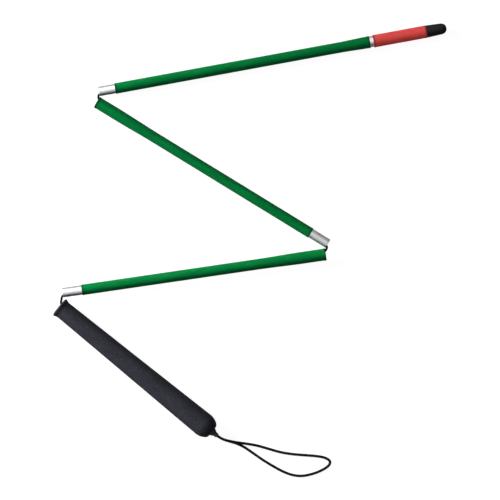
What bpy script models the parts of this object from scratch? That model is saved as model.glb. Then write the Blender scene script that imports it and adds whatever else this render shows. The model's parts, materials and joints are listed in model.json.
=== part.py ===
"""Folding cane in four tube sections on one elastic cord, lying half folded in a zigzag.

Metres, +Z up. Every rigid piece is turned about its own section's axis, local +X, which points
from the handle towards the tip. Each section hangs from an empty on its hinge axis, so turning
that empty folds the cane. Local +Y lies in the plane that the cane folds in.
"""

import math

import bmesh
import bpy
from mathutils import Matrix, Vector

MM = 0.001

# Section tube: one plain bore, a bare end that plugs in, and an end swaged out into a socket.
TUBE_RADIUS = 5.85 * MM
TUBE_WALL = 0.85 * MM
SOCKET_WALL = 0.6 * MM
SOCKET_FIT = 0.2 * MM
SOCKET_DEPTH = 26 * MM
SWAGE_LENGTH = 60 * MM
MOUTH_FLARE = 0.35 * MM
MOUTH_FLARE_LENGTH = 5 * MM
MOUTH_ROUND = 0.15 * MM
END_ROUND = 0.5 * MM
SECTION_2_LENGTH = 324 * MM
SECTION_3_LENGTH = 330.5 * MM

# Coloured sleeve shrunk over a tube.
SLEEVE_GAP = 0.2 * MM
SLEEVE_WALL = 0.45 * MM
SLEEVE_ROUND = 0.2 * MM
BARE_END_2 = 23.5 * MM
BARE_END_3 = 24.5 * MM
BARE_END_4 = 20 * MM

# Tip section: its long socket carries the red band, and its end takes the tip.
TIP_SECTION_LENGTH = 406.5 * MM
TIP_SOCKET_DEPTH = 70 * MM
TIP_SWAGE_LENGTH = 40 * MM
RED_BAND_LENGTH = 66 * MM
RED_BAND_WALL = 0.8 * MM
BARE_RING_WIDTH = 4.4 * MM
TIP_HEAD_LENGTH = 24.5 * MM
TIP_HEAD_RADIUS = 7.5 * MM
TIP_NOSE_RADIUS = 6.8 * MM
TIP_NOSE_START = 16 * MM
TIP_STEM_LENGTH = 22 * MM

# Rubber grip on the handle tube.
GRIP_LENGTH = 241 * MM
GRIP_NECK_RADIUS = 11.2 * MM
GRIP_MIDDLE_RADIUS = 12.95 * MM
GRIP_BUTT_RADIUS = 14.8 * MM
GRIP_LIP_RADIUS = 12 * MM
GRIP_LIP_ROUND = 1.2 * MM
GRIP_LIP_LENGTH = 6.5 * MM
BUTT_DOME_LENGTH = 13.5 * MM
BUTT_DOME_POWER = 1.7
BUTT_FLAT_RADIUS = 7.4 * MM
BUTT_WALL = 8 * MM
BUTT_RECESS = 0.8 * MM
GRIP_GAP = 0.2 * MM
HANDLE_SWAGE_LENGTH = 14 * MM

# Anchors of the elastic cord: a plug, a washer and a stopper knot at each end.
PLUG_LENGTH = 15 * MM
PLUG_FLANGE = 1.5 * MM
PLUG_FIT = 0.15 * MM
WASHER_RADIUS = 4.5 * MM
WASHER_THICKNESS = 0.8 * MM
KNOT_RADIUS = 3.1 * MM
KNOT_LENGTH = 5 * MM
KNOT_TURNS = 3
KNOT_GROOVE = 0.22
TIP_PLUG_PLACE = 290 * MM
SEAT_GAP = 0.3 * MM

# Elastic cord, pulled to the side that its joint folds to.
ELASTIC_RADIUS = 1.5 * MM
ELASTIC_HOLE_RADIUS = 1.8 * MM
ELASTIC_SIDE = 3.2 * MM
ELASTIC_TUCK = 8 * MM
BEND_STEPS = 10

# Wrist cord and its outlet, a grommet whose flange is let into the butt.
CORD_RADIUS = 1.25 * MM
CORD_SPACING = 2.95 * MM
CORD_STEP = 5.6 * MM
GROMMET_FIT = 0.2 * MM
GROMMET_WALL = 0.8 * MM
GROMMET_NOSE_WALL = 0.45 * MM
GROMMET_FLANGE_RADIUS = 5.5 * MM
GROMMET_FLANGE = 1.3 * MM
GROMMET_TAPER = 4.2 * MM
GROMMET_REACH = 8.3 * MM
WRIST_KNOT_RADIUS = 4.3 * MM
WRIST_KNOT_LENGTH = 6 * MM

# Headings of the sections at rest, in degrees from +X, from the handle outwards.
HANDLE_HEADING = 140.8
HEADING_2 = 8.3
HEADING_3 = 148.5
HEADING_4 = 10.4

# A joint turns about a vertical axis beside the tubes, where their rims press on each other.
JOINT_GAP = 0.5 * MM
PIVOT_SIDE_GRIP = 9.5 * MM
PIVOT_SIDE_TUBE = 7 * MM

# Sides of the turned pieces.
GRIP_SIDES = 32
TUBE_SIDES = 24
SMALL_SIDES = 16
CURVE_STEPS = 5
DOME_STEPS = 7
NOSE_STEPS = 8
FLARE_STEPS = 2

# Samples between the points of the wrist cord's route, and between those of its tube.
ROUTE_SAMPLES = 20
GAP_SAMPLES = 6

# Wrist cord's loop, in millimetres from its outlet: right, up the page, and above the floor.
CORD_ROUTE = [
    (7.4, -4.3, 13.9),
    (17.2, -7.2, 9.7),
    (26.4, -9.0, 5.9),
    (36.7, -10.6, 3.2),
    (48.9, -12.9, 1.7),
    (62.3, -16.7, 1.4),
    (77.5, -20.9, 1.4),
    (92.8, -23.3, 1.4),
    (107.5, -24.5, 1.4),
    (119.7, -25.5, 1.4),
    (129.4, -27.1, 1.4),
    (135.8, -30.0, 1.4),
    (137.7, -33.4, 1.4),
    (135.5, -37.6, 1.4),
    (128.8, -42.2, 1.4),
    (118.5, -46.6, 1.4),
    (105.0, -49.7, 1.4),
    (92.8, -48.9, 1.4),
    (80.6, -44.7, 1.4),
    (68.4, -38.2, 1.4),
    (55.0, -30.0, 1.4),
    (41.6, -20.7, 1.4),
    (31.8, -14.2, 1.4),
    (23.3, -10.2, 2.2),
    (14.8, -7.3, 5.8),
    (6.8, -4.4, 10.3),
]

# Sizes that follow from the ones above.
BORE_RADIUS = TUBE_RADIUS - TUBE_WALL
SOCKET_BORE = TUBE_RADIUS + SOCKET_FIT
SOCKET_RADIUS = SOCKET_BORE + SOCKET_WALL
GRIP_BORE = TUBE_RADIUS + GRIP_GAP
GRIP_SOCKET_BORE = SOCKET_RADIUS + GRIP_GAP
RED_BAND_RADIUS = SOCKET_RADIUS + SLEEVE_GAP + RED_BAND_WALL
GROMMET_BORE = CORD_SPACING / 2 + CORD_RADIUS + GROMMET_FIT
GROMMET_SHANK_RADIUS = GROMMET_BORE + GROMMET_WALL
GROMMET_END_RADIUS = GROMMET_BORE + GROMMET_NOSE_WALL
BUTT_HOLE_RADIUS = GROMMET_SHANK_RADIUS + SEAT_GAP
BUTT_RECESS_RADIUS = GROMMET_FLANGE_RADIUS + SEAT_GAP

# Inside the grip, from its butt: wall, wrist knot, elastic's knot, washer, plug and then the tube.
BUTT_STACK = BUTT_WALL + WRIST_KNOT_LENGTH + KNOT_LENGTH + WASHER_THICKNESS + PLUG_FLANGE
HANDLE_TUBE_LENGTH = GRIP_LENGTH - BUTT_STACK - 5 * SEAT_GAP

# How far the middle of a quarter-round lies from its corner, as a share of its radius.
ROUND_MIDDLE = 1 - math.sqrt(0.5)


def clear_scene():
    for old in list(bpy.data.objects):
        bpy.data.objects.remove(old)


def material(name, color, roughness, metallic=0.0):
    made = bpy.data.materials.new(name)
    made.use_nodes = True
    shader = made.node_tree.nodes["Principled BSDF"]
    shader.inputs["Base Color"].default_value = (*color, 1.0)
    shader.inputs["Roughness"].default_value = roughness
    shader.inputs["Metallic"].default_value = metallic
    made.diffuse_color = (*color, 1.0)
    return made


def empty(name, parent, place=(0, 0, 0), turn=0.0):
    """A frame that carries pieces: place in its parent, and turn in degrees about local Z."""
    made = bpy.data.objects.new(name, None)
    made.location = place
    made.rotation_euler = (0, 0, math.radians(turn))
    made.parent = parent
    bpy.context.collection.objects.link(made)
    return made


def add_piece(name, data, look, parent, place=(0, 0, 0)):
    made = bpy.data.objects.new(name, data)
    made.data.materials.append(look)
    made.location = place
    made.parent = parent
    bpy.context.collection.objects.link(made)
    return made


def turned(name, outline, closed, look, parent, place=(0, 0, 0), sides=TUBE_SIDES):
    """Spins an outline of (along, radius) points about local X.

    A closed outline makes a ring such as a tube. An open one starts and ends on the axis.
    """
    mesh = bpy.data.meshes.new(name)
    shape = bmesh.new()
    points = [shape.verts.new((along, radius, 0)) for along, radius in outline]
    for first, second in zip(points, points[1:]):
        shape.edges.new((first, second))
    if closed:
        shape.edges.new((points[-1], points[0]))
    bmesh.ops.spin(
        shape,
        geom=shape.verts[:] + shape.edges[:],
        cent=(0, 0, 0),
        axis=(1, 0, 0),
        angle=2 * math.pi,
        steps=sides,
    )
    bmesh.ops.remove_doubles(shape, verts=shape.verts[:], dist=1e-6)
    bmesh.ops.recalc_face_normals(shape, faces=shape.faces[:])
    shape.to_mesh(mesh)
    shape.free()
    mesh.shade_smooth()
    mesh.set_sharp_from_angle(angle=math.radians(35))
    return add_piece(name, mesh, look, parent, place)


def cord_tube(name, points, radius, look, parent):
    """A round cord along points, with flat ends."""
    curve = bpy.data.curves.new(name, "CURVE")
    curve.dimensions = "3D"
    curve.bevel_depth = radius
    curve.bevel_resolution = 2
    curve.use_fill_caps = True
    spline = curve.splines.new("POLY")
    spline.points.add(len(points) - 1)
    for spot, point in zip(spline.points, points):
        spot.co = (*point, 1.0)
    spline.use_smooth = True
    return add_piece(name, curve, look, parent)


def eased(start, end, low, high):
    """Points of a smooth step from radius low at start to radius high at end."""
    steps = [i / CURVE_STEPS for i in range(CURVE_STEPS + 1)]
    return [
        (start + (end - start) * t, low + (high - low) * (3 * t * t - 2 * t**3)) for t in steps
    ]


def swaged(length, socket_depth, swage_length, flare, plain_radius, socket_radius):
    """One surface of a section tube, from its plain stretch to its socket's mouth.

    The mouth opens by flare over its last few millimetres, steeper towards the rim.
    """
    socket_start = length - socket_depth
    surface = eased(socket_start - swage_length, socket_start, plain_radius, socket_radius)
    if flare == 0:
        return [*surface, (length, socket_radius)]
    for index in range(FLARE_STEPS + 1):
        share = index / FLARE_STEPS
        along = length - MOUTH_FLARE_LENGTH * (1 - share)
        surface.append((along, socket_radius + flare * share * share))
    return surface


def swaged_outside(length, socket_depth, swage_length, flare):
    return swaged(length, socket_depth, swage_length, flare, TUBE_RADIUS, SOCKET_RADIUS)


def swaged_inside(length, socket_depth, swage_length, flare):
    return swaged(length, socket_depth, swage_length, flare, BORE_RADIUS, SOCKET_BORE)


def radius_on(outline, along):
    """The radius that an outline has at a distance along it."""
    if along <= outline[0][0]:
        return outline[0][1]
    for (x0, r0), (x1, r1) in zip(outline, outline[1:]):
        if along <= x1:
            return r0 + (r1 - r0) * (along - x0) / (x1 - x0)
    return outline[-1][1]


def section_tube(name, length, socket_depth, swage_length, flare, look, parent, place):
    outside = swaged_outside(length, socket_depth, swage_length, flare)
    inside = swaged_inside(length, socket_depth, swage_length, flare)
    rim_radius = outside[-1][1]
    outline = [
        (0, BORE_RADIUS),
        (0, TUBE_RADIUS - END_ROUND),
        (END_ROUND * ROUND_MIDDLE, TUBE_RADIUS - END_ROUND * ROUND_MIDDLE),
        (END_ROUND, TUBE_RADIUS),
        *outside[:-1],
        (length - MOUTH_ROUND, rim_radius),
        (length, rim_radius - MOUTH_ROUND),
        *reversed(inside),
    ]
    return turned(name, outline, True, look, parent, place)


def sleeve(name, start, end, wall, tube_outside, look, parent, place):
    """A sleeve that follows the outside of its tube from start to end."""
    middle = [(x, r) for x, r in tube_outside if start < x < end]
    seat = [(start, radius_on(tube_outside, start)), *middle, (end, radius_on(tube_outside, end))]
    inner = [(x, r + SLEEVE_GAP) for x, r in seat]
    outer = [(x, r + wall) for x, r in inner]
    outer = [
        (start, outer[0][1] - SLEEVE_ROUND),
        (start + SLEEVE_ROUND, outer[0][1]),
        *outer[1:-1],
        (end - SLEEVE_ROUND, outer[-1][1]),
        (end, outer[-1][1] - SLEEVE_ROUND),
    ]
    return turned(name, [*outer, *reversed(inner)], True, look, parent, place)


def ring(name, start, end, inner, outer, look, parent, place):
    outline = [(start, inner), (start, outer), (end, outer), (end, inner)]
    return turned(name, outline, True, look, parent, place, SMALL_SIDES)


def knot(name, start, length, radius, look, parent, place):
    """A stopper knot: a few turns of cord drawn tight, seen as rounded ribs."""
    turn = length / KNOT_TURNS
    waist = radius * (1 - KNOT_GROOVE)
    outline = [(start, 0), (start, waist)]
    for index in range(KNOT_TURNS):
        middle = start + (index + 0.5) * turn
        for quarter in range(1, 5):
            angle = math.pi * quarter / 4
            along = middle - turn / 2 * math.cos(angle)
            outline.append((along, waist + (radius - waist) * math.sin(angle)))
    outline.append((start + length, 0))
    return turned(name, outline, False, look, parent, place, SMALL_SIDES)


def grip(look, parent):
    """Rubber grip: a rolled lip at the socket, a taper that widens, and a domed butt."""
    lip = []
    for index in range(CURVE_STEPS + 1):
        angle = math.pi / 2 * index / CURVE_STEPS
        along = -GRIP_LIP_ROUND * (1 - math.cos(angle))
        radius = GRIP_LIP_RADIUS - GRIP_LIP_ROUND * (1 - math.sin(angle))
        lip.append((along, radius))
    lip_end = -GRIP_LIP_LENGTH
    lip += [(lip_end / 2, GRIP_LIP_RADIUS), (lip_end, GRIP_NECK_RADIUS)]
    dome_start = BUTT_DOME_LENGTH - GRIP_LENGTH
    taper = [(-GRIP_LENGTH / 2, GRIP_MIDDLE_RADIUS), (dome_start, GRIP_BUTT_RADIUS)]
    dome = []
    for index in range(1, DOME_STEPS + 1):
        share = math.sin(math.pi / 2 * index / DOME_STEPS)
        fall = (1 - share**BUTT_DOME_POWER) ** (1 / BUTT_DOME_POWER) if share < 1 else 0.0
        radius = BUTT_FLAT_RADIUS + (GRIP_BUTT_RADIUS - BUTT_FLAT_RADIUS) * fall
        dome.append((dome_start - BUTT_DOME_LENGTH * share, radius))
    butt = -GRIP_LENGTH
    pocket = -SOCKET_DEPTH - HANDLE_SWAGE_LENGTH
    inside = [
        (butt, BUTT_RECESS_RADIUS),
        (butt + BUTT_RECESS, BUTT_RECESS_RADIUS),
        (butt + BUTT_RECESS, BUTT_HOLE_RADIUS),
        (butt + BUTT_WALL, BUTT_HOLE_RADIUS),
        (butt + BUTT_WALL, GRIP_BORE),
        *eased(pocket, -SOCKET_DEPTH, GRIP_BORE, GRIP_SOCKET_BORE),
        (0, GRIP_SOCKET_BORE),
    ]
    return turned("grip", [*lip, *taper, *dome, *inside], True, look, parent, sides=GRIP_SIDES)


def handle_tube(look, parent):
    """The tube inside the grip, with its socket flush with the grip's lip."""
    start = -HANDLE_TUBE_LENGTH
    outside = swaged_outside(0, SOCKET_DEPTH, HANDLE_SWAGE_LENGTH, 0)
    inside = swaged_inside(0, SOCKET_DEPTH, HANDLE_SWAGE_LENGTH, 0)
    outline = [(start, BORE_RADIUS), (start, TUBE_RADIUS), *outside, *reversed(inside)]
    return turned("handle_tube", outline, True, look, parent)


def handle_plug(look, parent):
    """A flanged plug in the top of the handle tube, bored for the elastic cord."""
    seat = -HANDLE_TUBE_LENGTH - SEAT_GAP
    body = BORE_RADIUS - PLUG_FIT
    outline = [
        (seat - PLUG_FLANGE, ELASTIC_HOLE_RADIUS),
        (seat - PLUG_FLANGE, TUBE_RADIUS),
        (seat, TUBE_RADIUS),
        (seat, body),
        (seat + PLUG_LENGTH, body),
        (seat + PLUG_LENGTH, ELASTIC_HOLE_RADIUS),
    ]
    return turned("handle_plug", outline, True, look, parent, sides=TUBE_SIDES)


def cord_grommet(look, parent):
    """The outlet of the wrist cord: a shank in the butt's hole, a flange and a tapered nose."""
    inner = -GRIP_LENGTH + BUTT_WALL
    seat = -GRIP_LENGTH + BUTT_RECESS - SEAT_GAP
    flange_end = seat - GROMMET_FLANGE
    end = -GRIP_LENGTH - GROMMET_REACH
    outline = [
        (inner, GROMMET_BORE),
        (inner, GROMMET_SHANK_RADIUS),
        (seat, GROMMET_SHANK_RADIUS),
        (seat, GROMMET_FLANGE_RADIUS),
        *eased(flange_end, flange_end - GROMMET_TAPER, GROMMET_FLANGE_RADIUS, GROMMET_END_RADIUS),
        (end, GROMMET_END_RADIUS),
        (end, GROMMET_BORE),
    ]
    return turned("cord_grommet", outline, True, look, parent, sides=TUBE_SIDES)


def tip(look, parent, place):
    """Pencil tip: a stem in the socket, a head as wide as the band, and a rounded nose."""
    face = TIP_SECTION_LENGTH + SEAT_GAP
    nose = face + TIP_NOSE_START
    reach = TIP_HEAD_LENGTH - TIP_NOSE_START
    outline = [
        (TIP_SECTION_LENGTH - TIP_STEM_LENGTH, 0),
        (TIP_SECTION_LENGTH - TIP_STEM_LENGTH, TUBE_RADIUS - END_ROUND),
        (TIP_SECTION_LENGTH - TIP_STEM_LENGTH + END_ROUND, TUBE_RADIUS),
        (face, TUBE_RADIUS),
        (face, TIP_HEAD_RADIUS - END_ROUND),
        (face + END_ROUND, TIP_HEAD_RADIUS),
    ]
    for index in range(NOSE_STEPS):
        angle = math.pi / 2 * index / NOSE_STEPS
        outline.append((nose + reach * math.sin(angle), TIP_NOSE_RADIUS * math.cos(angle)))
    outline.append((nose + reach, 0))
    return turned("tip", outline, False, look, parent, place)


def elastic_bend(name, side, pivot_side, turn, look, parent):
    """The elastic where it crosses a joint, in the hinge's frame: a tuck, an arc, a tuck."""
    half_gap = JOINT_GAP / 2
    radius = pivot_side - ELASTIC_SIDE
    points = [Vector((-half_gap - ELASTIC_TUCK, -side * radius, 0))]
    for index in range(BEND_STEPS + 1):
        swing = Matrix.Rotation(math.radians(turn) * index / BEND_STEPS, 3, "Z")
        points.append(swing @ Vector((0, -side * radius, 0)))
    last = Matrix.Rotation(math.radians(turn), 3, "Z")
    points.append(last @ Vector((half_gap + ELASTIC_TUCK, -side * radius, 0)))
    return cord_tube(name, points, ELASTIC_RADIUS, look, parent)


def joint_frames(letter, upper, mouth, upper_axis, side, pivot_side, turn):
    """A sliding link on the hinge axis, and the frame that the lower section turns with.

    mouth and upper_axis place the upper section's socket in its own frame, and side is +1
    where the lower section folds to the left of the way to the tip.
    """
    place = (mouth + JOINT_GAP / 2, upper_axis + side * pivot_side, 0)
    link = empty(f"link_{letter}", upper, place)
    return link, empty(f"pivot_{letter}", link, turn=turn)


def axis_place(side, pivot_side):
    """Where a lower section's own axis starts, in the frame on its hinge."""
    return (JOINT_GAP / 2, -side * pivot_side, 0)


def section_run(name, place, length, side_in, side_out, look, parent):
    """The elastic inside a middle section, from one joint's side to the next one's."""
    clear = ELASTIC_TUCK + SEAT_GAP
    ends = [(clear, side_in * ELASTIC_SIDE), (length - clear, side_out * ELASTIC_SIDE)]
    points = [(place[0] + x, place[1] + y, 0) for x, y in ends]
    return cord_tube(name, points, ELASTIC_RADIUS, look, parent)


def middle_section(number, length, parent, place, bare_end, side_in, side_out, looks):
    outside = swaged_outside(length, SOCKET_DEPTH, SWAGE_LENGTH, MOUTH_FLARE)
    section_tube(
        f"tube_{number}", length, SOCKET_DEPTH, SWAGE_LENGTH, MOUTH_FLARE,
        looks["alloy"], parent, place,
    )
    sleeve(
        f"sleeve_{number}", bare_end, length, SLEEVE_WALL, outside, looks["green"],
        parent, place,
    )
    section_run(
        f"elastic_{number}", place, length, side_in, side_out, looks["elastic"], parent
    )


def tip_section(parent, place, side_in, looks):
    length = TIP_SECTION_LENGTH
    outside = swaged_outside(length, TIP_SOCKET_DEPTH, TIP_SWAGE_LENGTH, 0)
    section_tube(
        "tube_4", length, TIP_SOCKET_DEPTH, TIP_SWAGE_LENGTH, 0, looks["alloy"], parent, place
    )
    band_start = length - RED_BAND_LENGTH
    sleeve(
        "sleeve_4", BARE_END_4, band_start - BARE_RING_WIDTH, SLEEVE_WALL, outside,
        looks["green"], parent, place,
    )
    sleeve("red_band", band_start, length, RED_BAND_WALL, outside, looks["red"], parent, place)
    plug_end = TIP_PLUG_PLACE + PLUG_LENGTH
    washer_start = plug_end + SEAT_GAP
    knot_start = washer_start + WASHER_THICKNESS + SEAT_GAP
    ring(
        "tip_plug", TIP_PLUG_PLACE, plug_end, ELASTIC_HOLE_RADIUS, BORE_RADIUS - PLUG_FIT,
        looks["nylon"], parent, place,
    )
    ring(
        "tip_washer", washer_start, washer_start + WASHER_THICKNESS, ELASTIC_HOLE_RADIUS,
        WASHER_RADIUS, looks["steel"], parent, place,
    )
    knot("tip_knot", knot_start, KNOT_LENGTH, KNOT_RADIUS, looks["elastic"], parent, place)
    run = [
        (ELASTIC_TUCK + SEAT_GAP, side_in * ELASTIC_SIDE),
        (TIP_PLUG_PLACE - SEAT_GAP, 0),
        (knot_start - SEAT_GAP, 0),
    ]
    points = [(place[0] + x, place[1] + y, 0) for x, y in run]
    cord_tube("elastic_4", points, ELASTIC_RADIUS, looks["elastic"], parent)
    tip(looks["tip"], parent, place)


def handle(parent, side_out, looks):
    grip(looks["grip"], parent)
    handle_tube(looks["alloy"], parent)
    handle_plug(looks["nylon"], parent)
    washer_end = -HANDLE_TUBE_LENGTH - PLUG_FLANGE - 2 * SEAT_GAP
    washer_start = washer_end - WASHER_THICKNESS
    ring(
        "handle_washer", washer_start, washer_end, ELASTIC_HOLE_RADIUS, WASHER_RADIUS,
        looks["steel"], parent, (0, 0, 0),
    )
    knot_start = washer_start - SEAT_GAP - KNOT_LENGTH
    knot("handle_knot", knot_start, KNOT_LENGTH, KNOT_RADIUS, looks["elastic"], parent, (0, 0, 0))
    wrist_start = -GRIP_LENGTH + BUTT_WALL + SEAT_GAP
    knot(
        "wrist_knot", wrist_start, WRIST_KNOT_LENGTH, WRIST_KNOT_RADIUS, looks["cord"], parent,
        (0, 0, 0),
    )
    points = [
        (washer_start, 0, 0),
        (-HANDLE_TUBE_LENGTH + PLUG_LENGTH, 0, 0),
        (-ELASTIC_TUCK - SEAT_GAP, side_out * ELASTIC_SIDE, 0),
    ]
    cord_tube("elastic_handle", points, ELASTIC_RADIUS, looks["elastic"], parent)
    cord_grommet(looks["grommet"], parent)


def smooth_route(points, step):
    """Points about step apart on a smooth curve through the given ones."""
    ends = [points[0] * 2 - points[1], *points, points[-1] * 2 - points[-2]]
    fine = []
    for before, start, end, after in zip(ends, ends[1:], ends[2:], ends[3:]):
        for index in range(ROUTE_SAMPLES):
            t = index / ROUTE_SAMPLES
            fine.append(
                0.5
                * (
                    2 * start
                    + (end - before) * t
                    + (2 * before - 5 * start + 4 * end - after) * t**2
                    + (3 * start - before - 3 * end + after) * t**3
                )
            )
    fine.append(points[-1])
    total = sum((b - a).length for a, b in zip(fine, fine[1:]))
    count = round(total / step)
    route, walked, target = [fine[0]], 0.0, total / count
    for first, second in zip(fine, fine[1:]):
        walked += (second - first).length
        if walked >= target - 1e-9 and len(route) < count:
            route.append(second)
            target += total / count
    route.append(fine[-1])
    return route


def least_gap_to_itself(route, radius):
    """The least distance between the surfaces of stretches of a cord that aren't neighbours."""
    nearest = (math.ceil(6 * radius / CORD_STEP) + 2) * GAP_SAMPLES
    fine = []
    for first, second in zip(route, route[1:]):
        fine += [first.lerp(second, i / GAP_SAMPLES) for i in range(GAP_SAMPLES)]
    gaps = [(a - b).length for i, a in enumerate(fine) for b in fine[i + nearest :]]
    return min(gaps) - 2 * radius


def wrist_cord(handle_matrix, look):
    """One loop of cord, whose two ends pass the grommet one over the other."""
    inner = -GRIP_LENGTH + BUTT_WALL
    outlet = -GRIP_LENGTH - GROMMET_REACH
    half = CORD_SPACING / 2
    exit_point = handle_matrix @ Vector((outlet, 0, 0))
    upper = [handle_matrix @ Vector((x, 0, half)) for x in (inner, (inner + outlet) / 2, outlet)]
    lower = [handle_matrix @ Vector((x, 0, -half)) for x in (outlet, (inner + outlet) / 2, inner)]
    loop = [
        Vector((exit_point.x + x * MM, exit_point.y + y * MM, z * MM)) for x, y, z in CORD_ROUTE
    ]
    route = smooth_route([*upper, *loop, *lower], CORD_STEP)
    length = sum((b - a).length for a, b in zip(route, route[1:]))
    print(f"wrist cord {length * 1000:.1f} mm, {len(route)} points")
    print(f"least gap to itself {least_gap_to_itself(route, CORD_RADIUS) * 1000:.2f} mm")
    print("cord outlet", [round(v, 5) for v in exit_point])
    return cord_tube("wrist_cord", route, CORD_RADIUS, look, None)


def floor_matrix(contacts):
    """Lays the plane of the cane so that round pieces at three places touch the floor at z = 0.

    contacts are (point on the piece's axis in the cane's plane, radius of the piece there).
    """
    spots = [Vector((p.x, p.y, -radius)) for p, radius in contacts]
    up = (spots[1] - spots[0]).cross(spots[2] - spots[0]).normalized()
    if up.z < 0:
        up = -up
    turn = up.rotation_difference(Vector((0, 0, 1))).to_matrix().to_4x4()
    drop = (turn @ spots[0]).z
    return Matrix.Translation((0, 0, -drop)) @ turn


def centre_on_floor(movers, ignored):
    """Moves everything so that the box of the rigid pieces stands centred on the origin."""
    bpy.context.view_layer.update()
    corners = []
    for piece in bpy.data.objects:
        if piece.type in {"MESH", "CURVE"} and piece.name not in ignored:
            shape = piece.evaluated_get(bpy.context.evaluated_depsgraph_get())
            mesh = shape.to_mesh()
            corners += [piece.matrix_world @ vertex.co for vertex in mesh.vertices]
            shape.to_mesh_clear()
    low = Vector([min(corner[axis] for corner in corners) for axis in range(3)])
    high = Vector([max(corner[axis] for corner in corners) for axis in range(3)])
    shift = Vector((-(low.x + high.x) / 2, -(low.y + high.y) / 2, -low.z))
    for mover in movers:
        mover.matrix_world = Matrix.Translation(shift) @ mover.matrix_world
    bpy.context.view_layer.update()
    print("rigid box", [round(v, 4) for v in high - low])


def report(frames):
    """Prints the hinge axes, slides and the butt's face in world coordinates."""
    for name, frame in frames.items():
        place = frame.matrix_world.translation
        along = frame.matrix_world.to_3x3() @ Vector((1, 0, 0))
        up = frame.matrix_world.to_3x3() @ Vector((0, 0, 1))
        print(name, "at", [round(v, 6) for v in place])
        print("   along", [round(v, 6) for v in along], "up", [round(v, 6) for v in up])


def main():
    clear_scene()
    looks = {
        "alloy": material("bare_alloy", (0.72, 0.73, 0.75), 0.32, 1.0),
        "green": material("green_sleeve", (0.0, 0.235, 0.068), 0.38),
        "red": material("red_sleeve", (0.66, 0.045, 0.04), 0.4),
        "grip": material("black_grip_rubber", (0.022, 0.022, 0.026), 0.62),
        "grommet": material("black_grommet_rubber", (0.014, 0.014, 0.015), 0.6),
        "tip": material("black_tip_nylon", (0.012, 0.012, 0.016), 0.45),
        "cord": material("black_wrist_cord", (0.008, 0.008, 0.009), 0.8),
        "elastic": material("black_elastic_cord", (0.01, 0.01, 0.011), 0.85),
        "nylon": material("white_nylon", (0.7, 0.7, 0.67), 0.5),
        "steel": material("zinc_steel", (0.55, 0.56, 0.57), 0.35, 1.0),
    }
    turn_a = HEADING_2 - HANDLE_HEADING
    turn_b = HEADING_3 - HEADING_2
    turn_c = HEADING_4 - HEADING_3
    side_a, side_b, side_c = (math.copysign(1, turn) for turn in (turn_a, turn_b, turn_c))

    plane = empty("cane_plane", None)
    hand = empty("handle_frame", plane, turn=HANDLE_HEADING)
    handle(hand, side_a, looks)

    link_a, pivot_a = joint_frames("a", hand, 0, 0, side_a, PIVOT_SIDE_GRIP, turn_a)
    elastic_bend("elastic_bend_a", side_a, PIVOT_SIDE_GRIP, turn_a, looks["elastic"], link_a)
    place_2 = axis_place(side_a, PIVOT_SIDE_GRIP)
    middle_section(
        2, SECTION_2_LENGTH, pivot_a, place_2, BARE_END_2, side_a, side_b, looks
    )

    mouth_2 = place_2[0] + SECTION_2_LENGTH
    link_b, pivot_b = joint_frames(
        "b", pivot_a, mouth_2, place_2[1], side_b, PIVOT_SIDE_TUBE, turn_b
    )
    elastic_bend("elastic_bend_b", side_b, PIVOT_SIDE_TUBE, turn_b, looks["elastic"], link_b)
    place_3 = axis_place(side_b, PIVOT_SIDE_TUBE)
    middle_section(
        3, SECTION_3_LENGTH, pivot_b, place_3, BARE_END_3, side_b, side_c, looks
    )

    mouth_3 = place_3[0] + SECTION_3_LENGTH
    link_c, pivot_c = joint_frames(
        "c", pivot_b, mouth_3, place_3[1], side_c, PIVOT_SIDE_TUBE, turn_c
    )
    elastic_bend("elastic_bend_c", side_c, PIVOT_SIDE_TUBE, turn_c, looks["elastic"], link_c)
    place_4 = axis_place(side_c, PIVOT_SIDE_TUBE)
    tip_section(pivot_c, place_4, side_c, looks)

    bpy.context.view_layer.update()
    butt = hand.matrix_world @ Vector((BUTT_DOME_LENGTH - GRIP_LENGTH, 0, 0))
    band_end = Vector((TIP_SECTION_LENGTH, 0, 0))
    lying_band = pivot_c.matrix_world @ (Vector(place_4) + band_end)
    straight_to_4 = Vector((SECTION_2_LENGTH + SECTION_3_LENGTH + 3 * JOINT_GAP, 0, 0))
    straight_band = hand.matrix_world @ (straight_to_4 + band_end)
    plane.matrix_world = floor_matrix(
        [
            (butt, GRIP_BUTT_RADIUS),
            (lying_band, RED_BAND_RADIUS),
            (straight_band, RED_BAND_RADIUS),
        ]
    )
    bpy.context.view_layer.update()
    loop = wrist_cord(hand.matrix_world, looks["cord"])
    centre_on_floor([plane, loop], {"wrist_cord"})
    report({"handle": hand, "link_a": link_a, "pivot_a": pivot_a, "link_b": link_b})
    report({"pivot_b": pivot_b, "link_c": link_c, "pivot_c": pivot_c})


main()
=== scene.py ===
# %% [markdown]
# # A folding cane, lying half folded
#
# The real cane is four aluminium tubes threaded on one elastic cord. Three of them are dressed in
# a shrunk plastic sleeve, the first is hidden in a rubber grip, and a nylon tip closes the last.
# Here it lies on a pale floor in a zigzag, with a loop of thin cord at the end of its grip.
#
# The engineered parts come in as a frame, and they stay where they are. Every piece made below goes
# round that frame and rides on its bodies, so the cane still folds when it is dressed.

# %% The engineered frame
import json
import math

import bmesh
import bpy
import numpy as np
from mathutils import Matrix, Vector


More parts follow.
